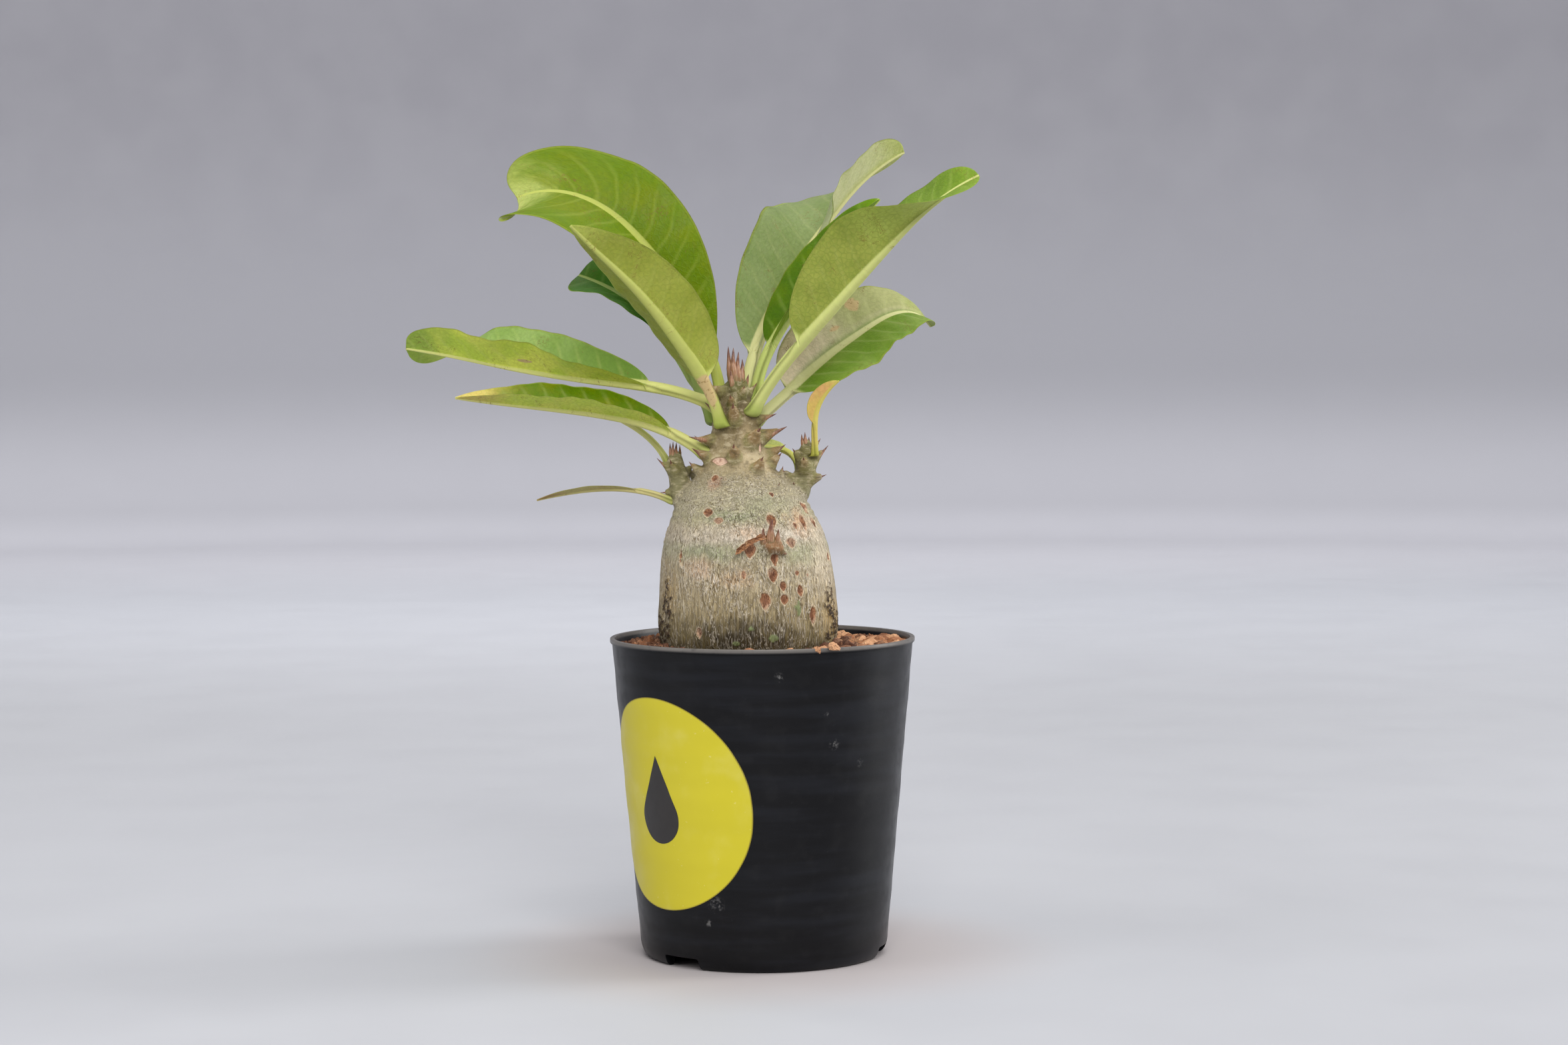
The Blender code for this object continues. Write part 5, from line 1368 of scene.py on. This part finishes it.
colour = blend(tree, span(tree, streak, 0.5, 0.68, 0.0, 0.3), colour, paint(0xC8A488))
feed(tree, colour, shader.inputs["Base Color"])
feed(tree, span(tree, streak, 0.3, 0.7, 0.34, 0.55), shader.inputs["Roughness"])
lift(tree, shader, streak, 0.1, 0.7)
spines.data.materials.append(horny)
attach(spines, "root")
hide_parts("caudex")

# The dry leaf
# The stub's last leaf, which shrivelled on it: a flaky orange-brown rag, crumpled and lying to the left.
DRY_PATH = (
    (1.6, -24.0, 124.4), (-0.8, -25.6, 124.3), (-3.2, -26.6, 123.2), (-5.4, -27.0, 122.0),
    (-7.4, -26.4, 120.8),
)
DRY_WIDTH = (1.6, 2.6, 3.2, 3.6, 2.2)
dry_share = np.linspace(0, 1, 44)
path = np.stack([evenly(column, dry_share) for column in np.array(DRY_PATH).T], -1)
points, faces, columns = [], [], 13
for index, share in enumerate(dry_share):
    turn = 1.0 + 0.9 * share
    wide = evenly(DRY_WIDTH, share) / 2 * (1 + 0.3 * noise.noise(Vector((share * 14, 3, 0))))
    for side, way in ((1, 1), (-1, -1)):
        for column in range(columns):
            across = (-1 + 2 * column / (columns - 1)) * way
            curl = turn + 0.8 * across
            crumple = 0.34 * noise.noise(Vector((across * 1.6, share * 9, 0)))
            crease = 0.16 * math.sin(7 * across + 4 * share)
            out = across * wide
            points.append((
                path[index][0] + 0.25 * out * math.sin(curl),
                path[index][1] + out * math.cos(curl) * 0.8 + crumple + crease - 0.09 * side * math.sin(curl),
                path[index][2] + out * math.sin(curl) + crumple + 0.09 * side * math.cos(curl),
            ))
rag = shaped("caudex_dry_leaf", points, capped(len(dry_share), 2 * columns))
dried, tree, shader = finish_of("dry leaf")
place = add(tree, "TexCoord", out="Object")
folds = speckle(tree, stretched(tree, place, (0.35, 1, 1)), 0.6, 4)
colour = blend(tree, span(tree, folds, 0.38, 0.62), paint(0x6A4024), paint(0xA87850))
colour = blend(tree, span(tree, speckle(tree, place, 1.4, 3), 0.56, 0.7, 0.0, 0.7), colour, paint(0xDAB88C))
feed(tree, colour, shader.inputs["Base Color"])
feed(tree, span(tree, folds, 0.3, 0.7, 0.6, 0.8), shader.inputs["Roughness"])
lift(tree, shader, folds, 0.2, 0.9)
rag.data.materials.append(dried)
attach(rag, "root")
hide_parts("caudex")

# The soil
# Baked clay granules, reddish brown, poured in loose round the trunk and settled just under the rim. Dust
# has washed in between them, the bed under them is painted dark as the shade in the gaps, the granules are
# painted darker towards the left as shade, and a few granules lie against the rim or on it.
SOIL_DIP = 1.6  # depth of the hollow at the back right
SOIL_DIP_PLACE = (30, 22)
SOIL_DIP_SPREAD = 9.5
FRONT_DIP = 1.3  # depth of the long hollow in front of the trunk
GRANULE_COUNT = 1480
GRANULE_SIZE = (0.4, 2.4)  # half across, of the smallest, and what the biggest add to it
BIG_GRANULE = 1.15  # those above it get a finer mesh
RIM_GRANULES = (
    (20.4, -41.2, 94.4, 1.6, 0.8), (15.4, -41.4, 93.5, 1.3, 0.7), (34.5, -24.5, 93.0, 1.8, 0.2),
)


def soil_top(x, y):
    """Height of the soil: gentle swells, with two hollows."""
    swell = math.sin(0.31 * x + 1.2) * math.cos(0.27 * y - 0.4) + 0.6 * math.sin(0.9 * x + 0.7 * y)
    away = math.dist((x, y), SOIL_DIP_PLACE) / SOIL_DIP_SPREAD
    front = FRONT_DIP * min(1, max(0, (-y - 14) / 12)) * min(1, max(0, (34 - abs(x)) / 12))
    return SOIL_LEVEL + 0.42 * swell - SOIL_DIP * math.exp(-(away**2) / 2) - front


def soil_bed():
    """The filling: a rough top between trunk and pot, the wall's inside, and the floor."""
    steps = 180
    middle, radius = trunk_at(SOIL_LEVEL)
    outer = wall_radius(SOIL_LEVEL) - WALL_THICKNESS - 0.2
    points = []
    for band in np.linspace(0, 1, 20):
        for step in range(steps):
            near = Vector(on_circle(360 * step / steps, radius - 1.0, middle))
            x, y = near.lerp(Vector(on_circle(360 * step / steps, outer)), band)
            bumps = 0.5 * noise.noise(Vector((x, y, 0)) / 2.2)
            points.append((x, y, soil_top(x, y) - 1.3 + bumps))
    for height, inward in ((60, 0), (20, 0), (FLOOR_HEIGHT + 3.3, 0), (FLOOR_HEIGHT + 0.3, 2.2)):
        wide = wall_radius(height) - WALL_THICKNESS - 0.3 - inward
        points += [(*on_circle(360 * step / steps, wide), height) for step in range(steps)]
    for height in (52.0, 62.0, 74.0, 86.0):
        middle, radius = trunk_at(height)
        ring = [on_circle(360 * step / steps, radius + 0.4, middle) for step in range(steps)]
        points += [(*place, height - 1.2) for place in ring]
    return points, joined_up(len(points) // steps, steps)


def granule(shape, place, size, draw):
    """A broken, angular bit: a ball with flats knocked off it at random."""
    way = shape.copy()
    for _ in range(draw.randint(6, 9)):
        flat = np.array([draw.gauss(0, 1) for _ in range(3)])
        flat /= np.linalg.norm(flat)
        level = draw.uniform(0.55, 0.85)
        reach = way @ flat
        over = reach > level
        way[over] -= np.outer(reach[over] - level, flat)
    shift = draw.uniform(0, 99)
    places = [Vector(point) * 2.4 + Vector((shift, 0, 0)) for point in shape]
    rough = np.array([noise.turbulence(place, 3, True) - 0.6 for place in places])
    way *= (1 + 0.34 * rough)[:, None]
    stretch = np.array([draw.uniform(0.85, 1.25), draw.uniform(0.8, 1.1), draw.uniform(0.75, 1.0)])
    turn = Matrix.Rotation(draw.uniform(0, 6.28), 3, "Z") @ Matrix.Rotation(draw.uniform(-0.9, 0.9), 3, "X")
    return (way * stretch * size * 1.18) @ np.array(turn).T + place


def ball(detail):
    work = bmesh.new()
    bmesh.ops.create_icosphere(work, subdivisions=detail, radius=1)
    points = np.array([corner.co[:] for corner in work.verts])
    faces = [tuple(corner.index for corner in face.verts) for face in work.faces]
    work.free()
    return points, faces


def granule_places(draw):
    """Seeded places between trunk and wall, the big granules first."""
    middle, radius = trunk_at(SOIL_LEVEL)
    outer = wall_radius(SOIL_LEVEL) - WALL_THICKNESS
    placed = []
    tries = 0
    while len(placed) < GRANULE_COUNT and tries < 40000:
        tries += 1
        share = len(placed) / GRANULE_COUNT
        size = GRANULE_SIZE[1] * (1 - share) ** 3 + GRANULE_SIZE[0] * draw.uniform(0.8, 1.7)
        reach, compass = math.sqrt(draw.uniform(24**2, 43**2)), draw.uniform(0, 360)
        x, y = on_circle(compass, reach, middle * 0.5)
        size *= 0.78 + 0.26 * min(1, max(-1, x / 25))
        if math.hypot(x, y) > outer - 0.85 * size or math.hypot(x - middle, y) < radius + 0.6 * size:
            continue
        z = soil_top(x, y) + (0.1 + 0.35 * share) * size + draw.uniform(-0.5, 0.3)
        room = 0.62 + 0.1 * share
        if all(math.dist((x, y, z), other[:3]) > room * (size + other[3]) for other in placed):
            placed.append((x, y, z, size))
    return placed


draw = random.Random(11)
big, small = ball(3), ball(2)
bed_points, bed_faces = soil_bed()
points, faces = [np.array(bed_points)], list(bed_faces)
# The bed gets the darkest tone: painted shade in the gaps between the granules.
tones = [np.full(len(bed_points), 0.15)]
start = len(bed_points)
rows = [(*place, draw.random()) for place in granule_places(draw)] + list(RIM_GRANULES)
for x, y, z, size, tone in rows:
    shape, shape_faces = big if size > BIG_GRANULE else small
    points.append(granule(shape, np.array((x, y, z)), size, draw))
    faces += [tuple(start + corner for corner in face) for face in shape_faces]
    # Each granule's tone is random, painted darker towards the left as shade.
    tones.append(np.full(len(shape), 0.2 + 0.8 * tone * min(1, max(0.3, 0.6 + x / 50))))
    start += len(shape)
soil = shaped("soil_granules", np.concatenate(points), faces, 40)
note(soil, "tone", np.concatenate(tones))
clay, tree, shader = finish_of("baked clay")
place = add(tree, "TexCoord", out="Object")
tone = noted(tree, "tone", "Fac")
colour = blend(tree, span(tree, tone, 0.2, 0.55), paint(0x4A2612), paint(0x96603C))
colour = blend(tree, span(tree, tone, 0.5, 0.85), colour, paint(0xC8966E))
# Near-black for the bed: painted shade.
colour = blend(tree, span(tree, tone, 0.1, 0.22, 1.0, 0.0), colour, paint(0x1E1610))
pits = speckle(tree, place, 0.55, 5, 0.7)
colour = blend(tree, span(tree, pits, 0.5, 0.64, 0.0, 0.6), colour, paint(0x40271A))
colour = blend(tree, span(tree, speckle(tree, place, 1.3, 3), 0.55, 0.7, 0.0, 0.5), colour, paint(0xBC8C68))
colour = blend(tree, dust(tree, place, 2.2, 0.5, 0.6), colour, paint(0xD0A884))
feed(tree, colour, shader.inputs["Base Color"])
feed(tree, span(tree, pits, 0.3, 0.7, 0.85, 0.97), shader.inputs["Roughness"])
lift(tree, shader, pits, 0.45, 1.0)
soil.data.materials.append(clay)
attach(soil, "root")
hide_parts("soil")

# The studio
# A pale, matt board that rises in a soft curve behind the pot, large soft lights overhead, in front and at
# both sides, and a long lens a metre away, level with the top of the trunk. The board's colour carries
# painted
# light: paler further back, darker up the wall, painted shade on the right and a warm painted shadow round
# the pot.
CAMERA_PLACE = (0.0, -0.982, 0.1793)
CAMERA_PITCH = 0.0526
CAMERA_YAW = 0.0067
CAMERA_ROLL = -0.0057
FOCAL_PIXELS = 5000
PICTURE_WIDTH = 2353
SENSOR = 36.0
BACKDROP_RADIUS = 2.6
COVE_RADIUS = 0.5
WALL_TOP = 1.6
BOARD = 0xABACB0


def board():
    """A round floor whose far half turns up into a wall."""
    steps, points = 120, []
    cove = BACKDROP_RADIUS - COVE_RADIUS
    profile = [(reach, 0.0) for reach in (0.02, 0.3, 0.8, 1.4, cove)]
    for turn in np.linspace(0.08, math.pi / 2, 14):
        profile.append((cove + COVE_RADIUS * math.sin(turn), COVE_RADIUS * (1 - math.cos(turn))))
    profile.append((BACKDROP_RADIUS, WALL_TOP))
    for reach, height in profile:
        for step in range(steps):
            turn = 360 * step / steps
            far = 0.5 + 0.5 * math.sin(math.radians(turn))
            rise = ease(far, 0.25, 0.6) * height
            points.append((*(v / MM for v in on_circle(turn, reach)), float(rise) / MM))
    return shaped("board", points, quads(len(profile), steps) + [tuple(range(steps))[::-1]])


floor = board()
matt, tree, shader = finish_of("matt board")
place = add(tree, "TexCoord", out="Object")
height = axis_of(tree, place, "Z")
depth = axis_of(tree, place, "Y")
# Painted light: the floor is paler further back.
tint = blend(tree, span(tree, depth, 0.55, 1.38), paint(BOARD), paint(0xC5C7CD))
tint = blend(tree, span(tree, depth, 1.38, 1.9), tint, paint(0xD9D9DF))
aside = axis_of(tree, place, "X")
# Painted shade on the right of the floor, nearer the front.
shade = times(tree, span(tree, aside, -0.05, 0.2), span(tree, depth, 1.0, 2.0, 0.11, 0.0))
tint = blend(tree, shade, tint, paint(0x000000))
# Painted light on the wall: paler where it turns up, then darker up the wall.
tint = blend(tree, span(tree, height, 0.004, 0.03), tint, paint(0xC8C8CE))
tint = blend(tree, span(tree, height, 0.03, 0.165), tint, paint(0xA6A6AC))
tint = blend(tree, span(tree, height, 0.12, 0.5), tint, paint(0x929197))
reach = add(tree, "VectorMath", {0: place}, "Value", operation="LENGTH")
# A warm painted shadow round the pot's foot.
tint = blend(tree, span(tree, reach, 0.04, 0.1, 0.7, 0.0), tint, paint(0xA99F9C))
feed(tree, tint, shader.inputs["Base Color"])
feed(tree, span(tree, speckle(tree, place, 60, 3), 0.3, 0.7, 0.6, 0.75), shader.inputs["Roughness"])
floor.data.materials.append(matt)


def lamp(name, place, target, size, power, tint=(1.0, 1.0, 1.0)):
    """A large soft light that the camera doesn't see."""
    light = bpy.data.lights.new(name, "AREA")
    light.shape, light.size, light.size_y = "RECTANGLE", *size
    light.energy, light.color = power, tint
    made = bpy.data.objects.new(name, light)
    made.location = place
    made.rotation_euler = (Vector(target) - Vector(place)).to_track_quat("-Z", "Y").to_euler()
    made.visible_camera = False
    bpy.context.scene.collection.objects.link(made)


lamp("overhead", (0.1, -0.15, 1.6), (0, 0, 0.1), (1.6, 1.4), 17)
lamp("front", (0.2, -1.4, 1.0), (0, 0, 0.12), (0.9, 0.8), 24)
lamp("left", (-1.3, -0.5, 0.5), (0, 0, 0.12), (0.7, 0.9), 6)
lamp("right", (1.3, 0.25, 0.5), (0, 0, 0.08), (0.5, 1.0), 14)
lamp("backdrop", (0.0, 0.9, 1.3), (0, 2.1, 0.0), (2.4, 0.5), 16)
air = bpy.data.worlds.new("air")
air.use_nodes = True
air.node_tree.nodes["Background"].inputs["Color"].default_value = paint(0xC4C4CA)
air.node_tree.nodes["Background"].inputs["Strength"].default_value = 0.55
bpy.context.scene.world = air
bpy.context.scene.view_settings.view_transform = "Standard"

lens = bpy.data.cameras.new("camera")
lens.sensor_fit, lens.sensor_width = "HORIZONTAL", SENSOR
lens.lens = FOCAL_PIXELS / PICTURE_WIDTH * SENSOR
lens.clip_start, lens.clip_end = 0.05, 20
camera = bpy.data.objects.new("camera", lens)
level = Vector((math.sin(CAMERA_YAW), math.cos(CAMERA_YAW), 0))
ahead = level * math.cos(CAMERA_PITCH) - Vector((0, 0, math.sin(CAMERA_PITCH)))
right = Vector((math.cos(CAMERA_YAW), -math.sin(CAMERA_YAW), 0))
over = right.cross(ahead)
right, over = (
    right * math.cos(CAMERA_ROLL) + over * math.sin(CAMERA_ROLL),
    over * math.cos(CAMERA_ROLL) - right * math.sin(CAMERA_ROLL),
)
turned = Matrix((right, over, -ahead)).transposed().to_4x4()
camera.matrix_world = Matrix.Translation(CAMERA_PLACE) @ turned
bpy.context.scene.collection.objects.link(camera)
bpy.context.scene.camera = camera

bpy.context.view_layer.update()
